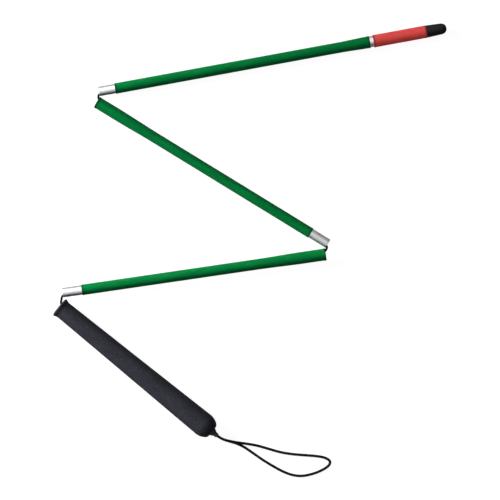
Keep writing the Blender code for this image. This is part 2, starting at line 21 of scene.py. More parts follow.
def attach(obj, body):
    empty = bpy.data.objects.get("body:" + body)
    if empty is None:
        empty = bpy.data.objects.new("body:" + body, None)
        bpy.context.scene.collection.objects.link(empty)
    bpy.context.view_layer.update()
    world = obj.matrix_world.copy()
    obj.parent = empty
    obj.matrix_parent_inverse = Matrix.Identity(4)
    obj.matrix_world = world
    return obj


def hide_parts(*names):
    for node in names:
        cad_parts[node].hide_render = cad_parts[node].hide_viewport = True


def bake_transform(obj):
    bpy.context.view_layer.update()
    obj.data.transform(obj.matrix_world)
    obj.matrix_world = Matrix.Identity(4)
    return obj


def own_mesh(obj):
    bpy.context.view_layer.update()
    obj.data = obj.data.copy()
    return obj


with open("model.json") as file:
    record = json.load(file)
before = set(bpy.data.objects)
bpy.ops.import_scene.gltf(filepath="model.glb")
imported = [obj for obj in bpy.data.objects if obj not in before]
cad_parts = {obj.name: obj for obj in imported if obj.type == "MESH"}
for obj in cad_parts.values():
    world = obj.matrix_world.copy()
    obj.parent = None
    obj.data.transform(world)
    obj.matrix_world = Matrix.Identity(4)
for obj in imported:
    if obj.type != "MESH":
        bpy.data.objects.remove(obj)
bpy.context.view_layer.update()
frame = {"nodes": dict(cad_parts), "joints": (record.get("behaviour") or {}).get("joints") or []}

MM = 0.001

# %% [markdown]
# ## Where each section lies
#
# Almost everything on a cane is turned about its tube. So each section gets a frame of its own:
# its x axis runs down the tube towards the tip, its z axis points up from the floor, and its
# origin is the middle of the tube's open end. The joints say where those frames are: a slide
# runs along the section above it, and a hinge sits a known distance beside both tubes.

# %% Section frames
JOINT_GAP = 0.5 * MM
PIVOT_SIDE = {"a": 9.5 * MM, "b": 7 * MM, "c": 7 * MM}
FOLD_SIDE = {"a": -1, "b": 1, "c": -1}
ABOVE = -1
BELOW = 1

joints = {joint["name"]: joint for joint in frame["joints"]}
up = Vector(joints["fold_a"]["axis"]).normalized()


def hinge_place(letter):
    return Vector(joints[f"fold_{letter}"]["pos_m"])


def slide_way(letter):
    """The way to the tip along the section that a joint's slide runs in."""
    return -Vector(joints[f"push_home_{letter}"]["axis"]).normalized()


def section_frame(letter, along, side):
    """The frame of the section above or below a hinge, at its open end."""
    across = up.cross(along)
    origin = hinge_place(letter) + along * (side * JOINT_GAP / 2)
    origin -= across * FOLD_SIDE[letter] * PIVOT_SIDE[letter]
    turn = Matrix((along, across.normalized(), up)).transposed().to_4x4()
    return Matrix.Translation(origin) @ turn


along_handle, along_2, along_3 = (slide_way(letter) for letter in "abc")
straightening = math.radians(joints["fold_c"]["range_deg"][1])
along_4 = Matrix.Rotation(-straightening, 3, up) @ along_3
frames = {
    "handle": section_frame("a", along_handle, ABOVE),
    "section_2": section_frame("a", along_2, BELOW),
    "section_3": section_frame("b", along_3, BELOW),
    "section_4": section_frame("c", along_4, BELOW),
}
for name, place in frames.items():
    print(name, "starts at", [round(v, 4) for v in place.translation])

# %% [markdown]
# ## The camera
#
# The cane is photographed from straight above. A long lens far away gives almost no perspective,
# so thin parallel tubes keep the same width from edge to edge. One pixel of the square picture is
# 1.22 mm on the cane, and from that the distance follows.

# %% Camera
PIXEL = 1.22 * MM
PICTURE_PIXELS = 500
PICTURE_CENTRE = Vector((0.0, -23.7)) * MM
LENS = 200
SENSOR = 36
FARTHEST_SEEN = 20
CANE_HEIGHT = 12 * MM

camera_data = bpy.data.cameras.new("camera")
camera_data.lens = LENS
camera_data.sensor_width = SENSOR
camera_data.clip_end = FARTHEST_SEEN
camera = bpy.data.objects.new("camera", camera_data)
camera_height = CANE_HEIGHT + PICTURE_PIXELS * PIXEL * LENS / SENSOR
camera.location = (*PICTURE_CENTRE, camera_height)
bpy.context.scene.collection.objects.link(camera)
bpy.context.scene.camera = camera
print(f"camera {camera_height:.2f} m above the floor")

# %% [markdown]
# ## Small tools for node trees
#
# Geometry Nodes and materials are both trees of nodes. Writing them out link by link hides what
# they do, so one helper adds a node, sets it up and wires its inputs in a single call. The
# arithmetic that fills most trees gets a shorthand of its own.

# %% Node helpers


def add_node(tree, kind, inputs=None, **settings):
    """Adds a node. settings are its properties, and inputs gives its sockets a value or a link."""
    node = tree.nodes.new(kind)
    for key, value in settings.items():
        setattr(node, key, value)
    for socket, value in (inputs or {}).items():
        if isinstance(value, bpy.types.NodeSocket):
            tree.links.new(value, node.inputs[socket])
        else:
            node.inputs[socket].default_value = value
    return node


def made(tree, kind, inputs=None, output=0, **settings):
    """Adds a node and gives one of its outputs."""
    return add_node(tree, kind, inputs, **settings).outputs[output]


def calc(tree, operation, value, *others):
    """Applies an operation to one value, or to several from left to right."""
    for other in others or (0.0,):
        value = made(tree, "ShaderNodeMath", {0: value, 1: other}, operation=operation)
    return value


def vector_calc(tree, operation, first, second=(0, 0, 0)):
    return made(tree, "ShaderNodeVectorMath", {0: first, 1: second}, operation=operation)


def scaled(tree, vector, amount):
    return made(tree, "ShaderNodeVectorMath", {0: vector, "Scale": amount}, operation="SCALE")


def combined(tree, x, y, z):
    return made(tree, "ShaderNodeCombineXYZ", {0: x, 1: y, 2: z})


def remap(tree, value, low, high, new_low, new_high):
    """Maps low..high to new_low..new_high and stops at both ends."""
    return made(tree, "ShaderNodeMapRange", {0: value, 1: low, 2: high, 3: new_low, 4: new_high})


# %% Trees that grow a mesh
OWN_PLACE = "own_place"


def geometry_tree(name, sizes, count):
    """A tree with an input for every size, for a count and for the material."""
    tree = bpy.data.node_groups.new(name, "GeometryNodeTree")
    kinds = {"Geometry": "Geometry", **dict.fromkeys(sizes, "Float"), count: "Int", "Material": "Material"}
    for label, kind in kinds.items():
        tree.interface.new_socket(label, in_out="INPUT", socket_type=f"NodeSocket{kind}")
    tree.interface.new_socket("Geometry", in_out="OUTPUT", socket_type="NodeSocketGeometry")
    return tree, add_node(tree, "NodeGroupInput").outputs


def keep_place(tree, geometry):
    """Stores where each point is, for patterns to follow. Gives the geometry and the place."""
    place = made(tree, "GeometryNodeInputPosition")
    inputs = {"Geometry": geometry, "Name": OWN_PLACE, "Value": place}
    kind = {"data_type": "FLOAT_VECTOR", "domain": "POINT"}
    return made(tree, "GeometryNodeStoreNamedAttribute", inputs, **kind), place


def close_tree(tree, geometry, material):
    """Ends a tree with smooth shading, real geometry and its material."""
    smooth = made(tree, "GeometryNodeSetShadeSmooth", {"Geometry": geometry})
    real = made(tree, "GeometryNodeRealizeInstances", {"Geometry": smooth})
    dressed = made(tree, "GeometryNodeSetMaterial", {"Geometry": real, "Material": material})
    add_node(tree, "NodeGroupOutput", {"Geometry": dressed})


def grown(name, mesh, tree, inputs):
    """Runs a tree on a mesh and returns an object that holds the result as a plain mesh."""
    piece = bpy.data.objects.new(name, mesh)
    bpy.context.scene.collection.objects.link(piece)
    modifier = piece.modifiers.new(tree.name, "NODES")
    modifier.node_group = tree
    for item in tree.interface.items_tree:
        if item.in_out == "INPUT" and item.name in inputs:
            modifier[item.identifier] = inputs[item.name]
    graph = bpy.context.evaluated_depsgraph_get()
    result = bpy.data.meshes.new_from_object(piece.evaluated_get(graph))
    result.name = name
    piece.modifiers.remove(modifier)
    piece.data = result
    return piece


def polyline(name, points, closed=False):
    """A mesh of points joined by edges, for a tree to work on."""
    mesh = bpy.data.meshes.new(name)
    edges = [(i, i + 1) for i in range(len(points) - 1)]
    if closed:
        edges.append((len(points) - 1, 0))
    mesh.from_pydata([tuple(point) for point in points], edges, [])
    return mesh


def stand_in(piece, node):
    """Hides the solid that a piece stands for, and prints how many triangles the piece has."""
    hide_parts(node)
    triangles = sum(len(face.vertices) - 2 for face in piece.data.polygons)
    print(piece.name, triangles, "triangles")


# %% [markdown]
# ## Finishes: patterns that wrap the pieces
#
# Every finish is procedural. Its patterns are noise, stretched to the size of what they stand for
# and read in each piece's own coordinates, which its tree stores as an attribute. On a turned piece
# x runs down the tube. Read that way, a pattern has no seam, and it stays put when a joint moves.

# %% Material helpers
NOISE_ROUGHNESS = 0.55
NOISE_SWING = (0.3, 0.7)
MAIN_SHARE = 0.6


def start_finish(name, color, roughness, metallic=0.0, shine=0.5):
    material = bpy.data.materials.new(name)
    material.use_nodes = True
    material.diffuse_color = (*color, 1.0)
    tree = material.node_tree
    shader = tree.nodes["Principled BSDF"]
    shader.inputs["Base Color"].default_value = (*color, 1.0)
    shader.inputs["Roughness"].default_value = roughness
    shader.inputs["Metallic"].default_value = metallic
    shader.inputs["Specular IOR Level"].default_value = shine
    return material, tree, shader


def own_place(tree):
    return made(tree, "ShaderNodeAttribute", output="Vector", attribute_name=OWN_PLACE)


def noise(tree, place, grain, detail=2.0, shift=0.0):
    """Noise whose grain is (along, across) in metres."""
    along, across = grain
    shrunk = vector_calc(tree, "MULTIPLY", place, (1 / along, 1 / across, 1 / across))
    moved = vector_calc(tree, "ADD", shrunk, (shift,) * 3)
    inputs = {"Vector": moved, "Scale": 1.0, "Detail": detail, "Roughness": NOISE_ROUGHNESS}
    return made(tree, "ShaderNodeTexNoise", inputs, output="Fac")


def swing(tree, pattern, low, high):
    """Maps the usual swing of noise to low..high."""
    return remap(tree, pattern, *NOISE_SWING, low, high)


def around(tree, pattern, middle, reach):
    return swing(tree, pattern, middle - reach, middle + reach)


def toned(tree, color, pattern, darkest, lightest):
    """Lets a pattern vary the brightness of a colour."""
    return scaled(tree, color, swing(tree, pattern, darkest, lightest))


def weighted(tree, *parts):
    """The sum of patterns, each times its weight."""
    return calc(tree, "ADD", *[calc(tree, "MULTIPLY", *part) for part in parts])


def mixed(tree, main, fine):
    return weighted(tree, (main, MAIN_SHARE), (fine, 1 - MAIN_SHARE))


def end_finish(tree, shader, tint, rough, *layers):
    """Wires up a tint, a roughness and bump layers of (pattern, height in metres)."""
    inputs = {"Height": weighted(tree, *layers), "Strength": 1.0, "Distance": 1.0}
    wires = {"Base Color": tint, "Roughness": rough, "Normal": made(tree, "ShaderNodeBump", inputs)}
    for socket, value in wires.items():
        tree.links.new(value, shader.inputs[socket])


# %% [markdown]
# ## Black cord
#
# The wrist loop and the elastic are both round braids of dull black yarn. Their colour hardly
# varies, so what tells them apart from rubber is roughness, a trace of sheen, and fine fibres that
# catch the light one by one.

# %% Cord finishes
WRIST_BLACK = (0.005, 0.005, 0.006)
ELASTIC_BLACK = (0.01, 0.01, 0.011)
FIBRE = (0.16 * MM, 0.16 * MM)
FIBRE_DEPTH = 0.03 * MM
YARN_PATCH = (1.1 * MM, 1.1 * MM)
YARN_TONES = (0.55, 1.6)
YARN_GLOSS = 0.08
YARN_DULLING = 0.1
YARN_SHINE = 0.15
SHEEN_ROUGHNESS = 0.4


def yarn_finish(name, color, roughness, sheen):
    material, tree, shader = start_finish(name, color, roughness, shine=YARN_SHINE)
    shader.inputs["Sheen Weight"].default_value = sheen
    shader.inputs["Sheen Roughness"].default_value = SHEEN_ROUGHNESS
    place = own_place(tree)
    fibres = noise(tree, place, FIBRE, detail=3.0)
    patches = noise(tree, place, YARN_PATCH, shift=7.0)
    tint = toned(tree, color, mixed(tree, fibres, patches), *YARN_TONES)
    rough = swing(tree, patches, roughness - YARN_GLOSS, roughness + YARN_DULLING)
    end_finish(tree, shader, tint, rough, (fibres, FIBRE_DEPTH))
    return material


wrist_yarn = yarn_finish("wrist_yarn", WRIST_BLACK, roughness=0.78, sheen=0.02)
elastic_yarn = yarn_finish("elastic_yarn", ELASTIC_BLACK, roughness=0.82, sheen=0.03)
print("cord finishes:", wrist_yarn.name, elastic_yarn.name)

# %% [markdown]
# ## A braid from one path
#
# A round braid has as many strands winding one way as the other, each passing over one and under
# the next. That is a rule, so Geometry Nodes can grow it from any path. The path is resampled
# finely and copied once for every strand. Each copy is pushed out into a helix, and a cosine with
# one cycle for every two crossings lifts it over and under. The two ways use opposite signs, and
# so they never meet at the same height. A flat oval carried along each helix makes the strand.

# %% Braid tree
STRAND_SIDES = 6
CORE_SIDES = 10
STRANDS = "Strands each way"
BRAID_SIZES = ("Mean radius", "Pitch", "Lift", "Strand width", "Strand thickness", "Step", "Core radius")
# Shares of the cord's radius, and of the room that a strand has beside its neighbours.
STRAND_THICKNESS = 0.36
STRAND_LIFT = 0.07
STRAND_FILL = 0.98


def curve_circle(tree, sides, radius):
    return made(tree, "GeometryNodeCurvePrimitiveCircle", {"Resolution": sides, "Radius": radius})


def swept(tree, path, outline, capped):
    """Carries an outline along a path."""
    inputs = {"Curve": path, "Profile Curve": outline, "Fill Caps": capped}
    return made(tree, "GeometryNodeCurveToMesh", inputs)


def braid_way(tree, given, kept, way):
    """All strands that wind one way: 1 or -1."""
    path, across, tangent, run = kept
    inputs = {"Geometry": path, "Amount": given[STRANDS]}
    copies, number = add_node(tree, "GeometryNodeDuplicateElements", inputs, domain="SPLINE").outputs
    turns = calc(tree, "DIVIDE", run, given["Pitch"])
    share = calc(tree, "DIVIDE", number, given[STRANDS])
    angle = calc(tree, "MULTIPLY", calc(tree, "ADD", calc(tree, "MULTIPLY", turns, way), share), math.tau)
    waves = calc(tree, "MULTIPLY", turns, given[STRANDS], math.tau)
    lift = calc(tree, "MULTIPLY", calc(tree, "COSINE", waves), given["Lift"], way)
    radius = calc(tree, "ADD", given["Mean radius"], lift)
    upright = vector_calc(tree, "CROSS_PRODUCT", tangent, across)
    sideways = scaled(tree, across, calc(tree, "COSINE", angle))
    outwards = vector_calc(tree, "ADD", sideways, scaled(tree, upright, calc(tree, "SINE", angle)))
    inputs = {"Geometry": copies, "Offset": scaled(tree, outwards, radius)}
    helix = made(tree, "GeometryNodeSetPosition", inputs)
    facing = made(tree, "GeometryNodeSetCurveNormal", {"Curve": helix, "Normal": outwards}, mode="FREE")
    size = combined(tree, given["Strand thickness"], given["Strand width"], 1.0)
    circle = curve_circle(tree, STRAND_SIDES, 0.5)
    oval = made(tree, "GeometryNodeTransform", {"Geometry": circle, "Scale": size})
    return swept(tree, facing, oval, True)


def build_braid_tree():
    tree, given = geometry_tree("braid", BRAID_SIZES, STRANDS)
    line = made(tree, "GeometryNodeMeshToCurve", {"Mesh": given["Geometry"]})
    inputs = {"Curve": line, "Length": given["Step"]}
    fine = made(tree, "GeometryNodeResampleCurve", inputs, mode="LENGTH")
    keep = add_node(tree, "GeometryNodeCaptureAttribute", {"Geometry": fine}, domain="POINT")
    wanted = {
        "Across": ("VECTOR", made(tree, "GeometryNodeInputNormal")),
        "Tangent": ("VECTOR", made(tree, "GeometryNodeInputTangent")),
        "Run": ("FLOAT", made(tree, "GeometryNodeSplineParameter", output="Length")),
    }
    for label, (kind, value) in wanted.items():
        keep.capture_items.new(kind, label)
        tree.links.new(value, keep.inputs[label])
    kept = [keep.outputs[i] for i in range(4)]
    strands = [braid_way(tree, given, kept, way) for way in (1, -1)]
    core = swept(tree, line, curve_circle(tree, CORE_SIDES, given["Core radius"]), True)
    joined = add_node(tree, "GeometryNodeJoinGeometry")
    for part in (*strands, core):
        tree.links.new(part, joined.inputs[0])
    stored, _ = keep_place(tree, joined.outputs[0])
    close_tree(tree, stored, given["Material"])
    return tree


braid_tree = build_braid_tree()


def braided(name, points, radius, strands, pitch, step, material):
    """A braided cord of the given outer radius along points."""
    thickness = radius * STRAND_THICKNESS
    lift = radius * STRAND_LIFT
    mean = radius - thickness / 2 - lift
    slope = math.atan2(math.tau * mean, pitch)
    settings = {
        "Mean radius": mean,
        STRANDS: strands,
        "Pitch": pitch,
        "Lift": lift,
        "Strand width": math.tau * mean / strands * math.cos(slope) * STRAND_FILL,
        "Strand thickness": thickness,
        "Step": step,
        "Core radius": mean,
        "Material": material,
    }
    return grown(name, polyline(name, points), braid_tree, settings)


# %% [markdown]
# ## The wrist loop
#
# One piece of 2.5 mm cord leaves the butt through a grommet, makes a long loop and goes back in
# under its own first strand, to a knot inside the grip. Its length is fixed and it is limp, so it
# drops to the floor within a few centimetres and lies there in the soft curve of the photograph.
# The route is a list of points given along that curve, with one smooth line through them.

# %% Wrist loop
GRIP_LENGTH = 241 * MM
BUTT_WALL = 8 * MM
GROMMET_REACH = 8.3 * MM
# Loose yarn stands proud of the cord's nominal round, as the photograph's fuller line shows.
BRAID_RADIUS = 1.75 * MM
CORD_SPACING = 2.95 * MM
ROUTE_SAMPLES = 20
TINY = 1e-9
WRIST_STRANDS = 5
WRIST_PITCH = 6.5 * MM
WRIST_STEP = 0.26 * MM
WRIST_ROUTE_STEP = 1.6 * MM

# In millimetres from the outlet: right, up the page, and above the floor.
CORD_ROUTE = [
    (7.4, -4.3, 13.9), (17.2, -7.2, 9.7), (26.4, -9.0, 5.9), (36.7, -10.6, 3.2),
    (48.9, -12.9, 1.7), (62.3, -16.7, 1.4), (77.5, -20.9, 1.4), (92.8, -23.3, 1.4),
    (107.5, -24.5, 1.4), (119.7, -25.5, 1.4), (129.4, -27.1, 1.4), (135.8, -30.0, 1.4),
    (137.7, -33.4, 1.4), (135.5, -37.6, 1.4), (128.8, -42.2, 1.4), (118.5, -46.6, 1.4),
    (105.0, -49.7, 1.4), (92.8, -48.9, 1.4), (80.6, -44.7, 1.4), (68.4, -38.2, 1.4),
    (55.0, -30.0, 1.4), (41.6, -20.7, 1.4), (31.8, -14.2, 1.4), (23.3, -10.2, 2.2),
    (14.8, -7.3, 5.8), (6.8, -4.4, 10.3),
]


def path_length(points):
    return sum((second - first).length for first, second in zip(points, points[1:]))


def smooth_route(points, step):
    """Points about step apart on a smooth curve through the given ones."""
    ends = [points[0] * 2 - points[1], *points, points[-1] * 2 - points[-2]]
    fine = []
    for before, start, end, after in zip(ends, ends[1:], ends[2:], ends[3:]):
        for index in range(ROUTE_SAMPLES):
            t = index / ROUTE_SAMPLES
            bent = (2 * before - 5 * start + 4 * end - after) * t**2
            twisted = (3 * start - before - 3 * end + after) * t**3
            fine.append(0.5 * (2 * start + (end - before) * t + bent + twisted))
    fine.append(points[-1])
    total = path_length(fine)
    count = round(total / step)
    route, walked, target = [fine[0]], 0.0, total / count
    for first, second in zip(fine, fine[1:]):
        walked += (second - first).length
        if walked >= target - TINY and len(route) < count:
            route.append(second)
            target += total / count
    route.append(fine[-1])
    return route


def wrist_route(step):
    """The cord's whole way, never nearer the floor than its radius, and where it leaves the grip."""
    inner = -GRIP_LENGTH + BUTT_WALL
    outlet = -GRIP_LENGTH - GROMMET_REACH
    half = CORD_SPACING / 2
    hand = frames["handle"]
    start = hand @ Vector((outlet, 0, 0))
    upper = [hand @ Vector((x, 0, half)) for x in (inner, (inner + outlet) / 2, outlet)]
    lower = [hand @ Vector((x, 0, -half)) for x in (outlet, (inner + outlet) / 2, inner)]
    loop = [
        Vector((start.x + x * MM, start.y + y * MM, max(z * MM, BRAID_RADIUS)))
        for x, y, z in CORD_ROUTE
    ]
    return smooth_route([*upper, *loop, *lower], step), start


wrist_points, cord_exit = wrist_route(WRIST_ROUTE_STEP)
wrist_loop = braided(
    "wrist_loop", wrist_points, BRAID_RADIUS, WRIST_STRANDS, WRIST_PITCH, WRIST_STEP, wrist_yarn
)
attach(wrist_loop, "handle")
stand_in(wrist_loop, "wrist_cord")

# %% [markdown]
# ## A lathe made of nodes
#
# Tubes, sleeves, the grip and the tip are all turned shapes: an outline, spun about the tube's
# axis. The outline is drawn as edges in the plane of x and y, with x along the axis and y the
# radius. The tree carries it round a tiny circle, which gives the full turn without a seam. A
# shrunk sleeve is never quite true, so the tree can also ripple the surface with stretched noise,
# by a few hundredths of a millimetre. Points on the axis are merged, so the ends are closed.

# %% Lathe tree
LATHE_CORE = 1 * MM
MERGE = 0.002 * MM
SHARP_ANGLE = math.radians(40)
SIDES = "Sides"
# The height, length and width of the ripples, and the part of the noise that they come from.
RIPPLE = ("Ripple", "Ripple length", "Ripple width", "Ripple shift")
NO_RIPPLE = (0.0, 1.0, 1.0, 0.0)


def build_lathe_tree():
    tree, given = geometry_tree("lathe", RIPPLE, SIDES)
    ripple, length, width, shift = (given[size] for size in RIPPLE)
    outline = made(tree, "GeometryNodeMeshToCurve", {"Mesh": given["Geometry"]})
    inputs = {"Geometry": outline, "Translation": (0, -LATHE_CORE, 0)}
    lowered = made(tree, "GeometryNodeTransform", inputs)
    inputs = {"Geometry": curve_circle(tree, given[SIDES], LATHE_CORE), "Rotation": (0, math.pi / 2, 0)}
    spun = swept(tree, made(tree, "GeometryNodeTransform", inputs), lowered, False)
    merged = made(tree, "GeometryNodeMergeByDistance", {"Geometry": spun, "Distance": MERGE})
    stored, place = keep_place(tree, merged)
    shrunk = vector_calc(tree, "DIVIDE", place, combined(tree, length, width, width))
    moved = vector_calc(tree, "ADD", shrunk, combined(tree, shift, shift, shift))
    waves = made(tree, "ShaderNodeTexNoise", {"Vector": moved, "Scale": 1.0, "Detail": 1.0}, "Fac")
    height = calc(tree, "MULTIPLY", calc(tree, "SUBTRACT", waves, 0.5), 2.0, ripple)
    outwards = vector_calc(tree, "NORMALIZE", vector_calc(tree, "MULTIPLY", place, (0, 1, 1)))
    inputs = {"Geometry": stored, "Offset": scaled(tree, outwards, height)}
    close_tree(tree, made(tree, "GeometryNodeSetPosition", inputs), given["Material"])
    return tree


lathe_tree = build_lathe_tree()


def turned(
    name, node, body, outline, material, sides, ripple=NO_RIPPLE, reshape=None, closed=True
):
    """Turns an outline of (along, radius) points and lays the piece in its body's frame."""
    mesh = polyline(name, [(along, radius, 0) for along, radius in outline], closed)
    settings = {**dict(zip(RIPPLE, ripple)), SIDES: sides, "Material": material}
    piece = grown(name, mesh, lathe_tree, settings)
    if reshape:
        reshape(piece.data)
    piece.data.transform(frames[body])
    shape = bmesh.new()
    shape.from_mesh(piece.data)
    bmesh.ops.recalc_face_normals(shape, faces=shape.faces[:])
    shape.to_mesh(piece.data)
    shape.free()
    piece.data.set_sharp_from_angle(angle=SHARP_ANGLE)
    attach(piece, body)
    stand_in(piece, node)


# %% [markdown]
# ## Bare aluminium
#
# The tubes are drawn: pulled through a die, which leaves fine lines down their length and a satin
# shine. A bare end is also finished in a lathe, which leaves rings round it, and it has rub marks
# from sliding in and out of its socket. All are noise in the tube's own coordinates: the lines are
# stretched along it, the rings round it, and the rubs only a little. The rings matter most, since
# they spread the light down the tube and so draw one bright streak along it.

# %% Alloy finish
ALLOY = (0.80, 0.81, 0.83)
ALLOY_TONES = (0.88, 1.04)
ALLOY_ROUGHNESS = 0.32
DRAWN_LINES = (14 * MM, 0.11 * MM)
LINE_DULLING = 0.06
LINE_DEPTH = 0.006 * MM
TURNED_RINGS = (0.35 * MM, 9 * MM)
RING_DEPTH = 0.06 * MM
RUB_MARKS = (5 * MM, 0.7 * MM)
RUB_EDGE = (0.45, 0.75)
RUB_DULLING = 0.16
RUB_DEPTH = 0.004 * MM
DULL_PATCHES = (9 * MM, 4 * MM)


def alloy_finish():
    material, tree, shader = start_finish("drawn_alloy", ALLOY, ALLOY_ROUGHNESS, metallic=1.0)
    place = own_place(tree)
    lines = noise(tree, place, DRAWN_LINES, detail=3.0)
    rings = noise(tree, place, TURNED_RINGS, detail=3.0, shift=17.0)
    rubs = noise(tree, place, RUB_MARKS, detail=4.0, shift=3.0)
    tint = toned(tree, ALLOY, noise(tree, place, DULL_PATCHES, shift=11.0), *ALLOY_TONES)
    rubbed = remap(tree, rubs, *RUB_EDGE, 0.0, RUB_DULLING)
    rough = calc(tree, "ADD", rubbed, around(tree, lines, ALLOY_ROUGHNESS, LINE_DULLING))
    layers = [(lines, LINE_DEPTH), (rings, RING_DEPTH), (rubs, RUB_DEPTH)]
    end_finish(tree, shader, tint, rough, *layers)
    return material


drawn_alloy = alloy_finish()
print("alloy finish:", drawn_alloy.name)

# %% [markdown]
# ## Section tubes
#
# Each tube has a plain end, rounded so that it finds its way in, and an end swaged out into a
# socket that the next tube's plain end fits. The swage is a long smooth step, and the mouth opens
# a little in its last millimetres. One function gives the radius at any distance, and tube, bore
# and sleeve are all drawn from it, so they follow each other exactly.

# %% Tube shapes
TUBE_RADIUS = 5.85 * MM
TUBE_WALL = 0.85 * MM
SOCKET_WALL = 0.6 * MM
SOCKET_FIT = 0.2 * MM
SOCKET_DEPTH = 26 * MM
SWAGE_LENGTH = 60 * MM
SECTION_LENGTHS = {2: 324 * MM, 3: 330.5 * MM}
TIP_SECTION_LENGTH = 406.5 * MM
TIP_SOCKET_DEPTH = 70 * MM
TIP_SWAGE_LENGTH = 40 * MM
HANDLE_SWAGE_LENGTH = 14 * MM
HANDLE_TUBE_LENGTH = 218.2 * MM
MOUTH_FLARE = 0.35 * MM
MOUTH_FLARE_LENGTH = 5 * MM
END_ROUND = 0.5 * MM
MOUTH_ROUND = 0.2 * MM

BORE_RADIUS = TUBE_RADIUS - TUBE_WALL
SOCKET_BORE = TUBE_RADIUS + SOCKET_FIT
SOCKET_RADIUS = SOCKET_BORE + SOCKET_WALL
TUBE_SIDES = 80
SWAGE_STEPS = 18
FLARE_STEPS = 6


def smooth_step(share):
    """Goes from 0 to 1 without a corner at either end."""
    return 3 * share**2 - 2 * share**3


class Swage:
    """The radius of a section tube's outside and bore at any distance along it."""

    def __init__(self, length, socket_depth, swage_length, flare):
        self.length = length
        self.start = length - socket_depth - swage_length
        self.end = length - socket_depth
        self.flare = flare

    def radius(self, along, plain, swaged):
        share = min(1.0, max(0.0, (along - self.start) / (self.end - self.start)))
        mouth = max(0.0, 1 - (self.length - along) / MOUTH_FLARE_LENGTH)
        return plain + (swaged - plain) * smooth_step(share) + self.flare * mouth**2

    def outside(self, along):
        return self.radius(along, TUBE_RADIUS, SOCKET_RADIUS)

    def bore(self, along):
        return self.radius(along, BORE_RADIUS, SOCKET_BORE)

    def stations(self):
        """Distances where the surface bends."""
        swage = np.linspace(self.start, self.end, SWAGE_STEPS + 1)
        mouth = np.linspace(self.length - MOUTH_FLARE_LENGTH, self.length, FLARE_STEPS + 1)
        return [*swage, *(mouth if self.flare else [self.length])]


def quarter(along, radius, size, start, end, steps=4, reach=None):
    """A quarter-round about a centre, from angle start to angle end. reach is its size along x."""
    angles = np.radians(np.linspace(start, end, steps + 1))
    reach = reach or size
    return [(along + reach * math.cos(a), radius + size * math.sin(a)) for a in angles]


def plain_end(start):
    return quarter(start + END_ROUND, TUBE_RADIUS - END_ROUND, END_ROUND, 180, 90)


def make_tube(name, node, body, swage, end):
    """end is the outline of the end that goes into a socket, from the bore outwards."""
    stations = swage.stations()
    mouth = swage.length
    outer = [(x, swage.outside(x)) for x in stations[:-1]]
    inner = [(x, swage.bore(x)) for x in stations]
    rim = quarter(mouth - MOUTH_ROUND, swage.outside(mouth) - MOUTH_ROUND, MOUTH_ROUND, 90, 0)
    outline = [*end, *outer, *rim, *reversed(inner)]
    turned(name, node, body, outline, drawn_alloy, TUBE_SIDES)


swages = {
    number: Swage(length, SOCKET_DEPTH, SWAGE_LENGTH, MOUTH_FLARE)
    for number, length in SECTION_LENGTHS.items()
}
swages[4] = Swage(TIP_SECTION_LENGTH, TIP_SOCKET_DEPTH, TIP_SWAGE_LENGTH, 0)
for number, swage in swages.items():
    rounded_end = [(0, BORE_RADIUS), *plain_end(0)]
    make_tube(f"alloy_tube_{number}", f"tube_{number}", f"section_{number}", swage, rounded_end)

# The tube inside the grip has a square end, and its socket ends flush with the grip's lip.
handle_swage = Swage(0, SOCKET_DEPTH, HANDLE_SWAGE_LENGTH, 0)
square_end = [(-HANDLE_TUBE_LENGTH, BORE_RADIUS), (-HANDLE_TUBE_LENGTH, TUBE_RADIUS)]
make_tube("alloy_handle_tube", "handle_tube", "handle", handle_swage, square_end)

# %% [markdown]
# ## Shrunk sleeves
#
# The green and red colours are plastic sleeves, heated until they shrink onto the tube. That
# leaves a satin skin with slow ripples along it, a faint orange peel, and ends that curl in round,
# which painted shade darkens. The ripples are real geometry from the lathe tree. The peel is bump,
# because it is only about a hundredth of a millimetre deep.

# %% Sleeve finishes
GREEN = (0.001, 0.24, 0.052)
RED = (1.0, 0.1, 0.09)
GREEN_SHINE = 0.06
RED_SHINE = 0.2
GREEN_PEEL_DEPTH = 0.02 * MM
RED_PEEL_DEPTH = 0.03 * MM
SLEEVE_ROUGHNESS = 0.45
SKIN_TONES = (0.84, 1.12)
ORANGE_PEEL = (1.6 * MM, 0.9 * MM)
HAZE = (22 * MM, 5 * MM)
HAZE_DULLING = 0.05
SCUFFS = (3.5 * MM, 0.35 * MM)
SCUFF_EDGE = (0.58, 0.78)
SCUFF_DULLING = 0.14
SCUFF_DEPTH = 0.004 * MM
# Painted light: the red band glows faintly by itself, which lifts its red above what the lamps
# give. It stands in for the band's fluorescence, which turns some blue and green light into red.
PAINTED_RED_GLOW = 0.1
# Painted shade: the colour darkens towards each rolled end, where no bright metal lies behind the thin
# skin.
FROM_END = "from_end"
PAINTED_END_SHADE_LENGTH = 3 * MM
PAINTED_END_SHADE = 0.12


def sleeve_finish(name, color, shine, peel_depth):
    material, tree, shader = start_finish(name, color, SLEEVE_ROUGHNESS, shine=shine)
    place = own_place(tree)
    peel = noise(tree, place, ORANGE_PEEL)
    haze = noise(tree, place, HAZE, detail=3.0, shift=5.0)
    scuffs = noise(tree, place, SCUFFS, detail=3.0, shift=9.0)
    from_end = made(tree, "ShaderNodeAttribute", output="Fac", attribute_name=FROM_END)
    # Painted shade that darkens the colour near both ends of a sleeve.
    shade = remap(tree, from_end, 0.0, PAINTED_END_SHADE_LENGTH, PAINTED_END_SHADE, 1.0)
    tint = scaled(tree, toned(tree, color, haze, *SKIN_TONES), shade)
    scuffed = remap(tree, scuffs, *SCUFF_EDGE, 0.0, SCUFF_DULLING)
    rough = calc(tree, "ADD", around(tree, haze, SLEEVE_ROUGHNESS, HAZE_DULLING), scuffed)
    end_finish(tree, shader, tint, rough, (peel, peel_depth), (scuffs, SCUFF_DEPTH))
    return material


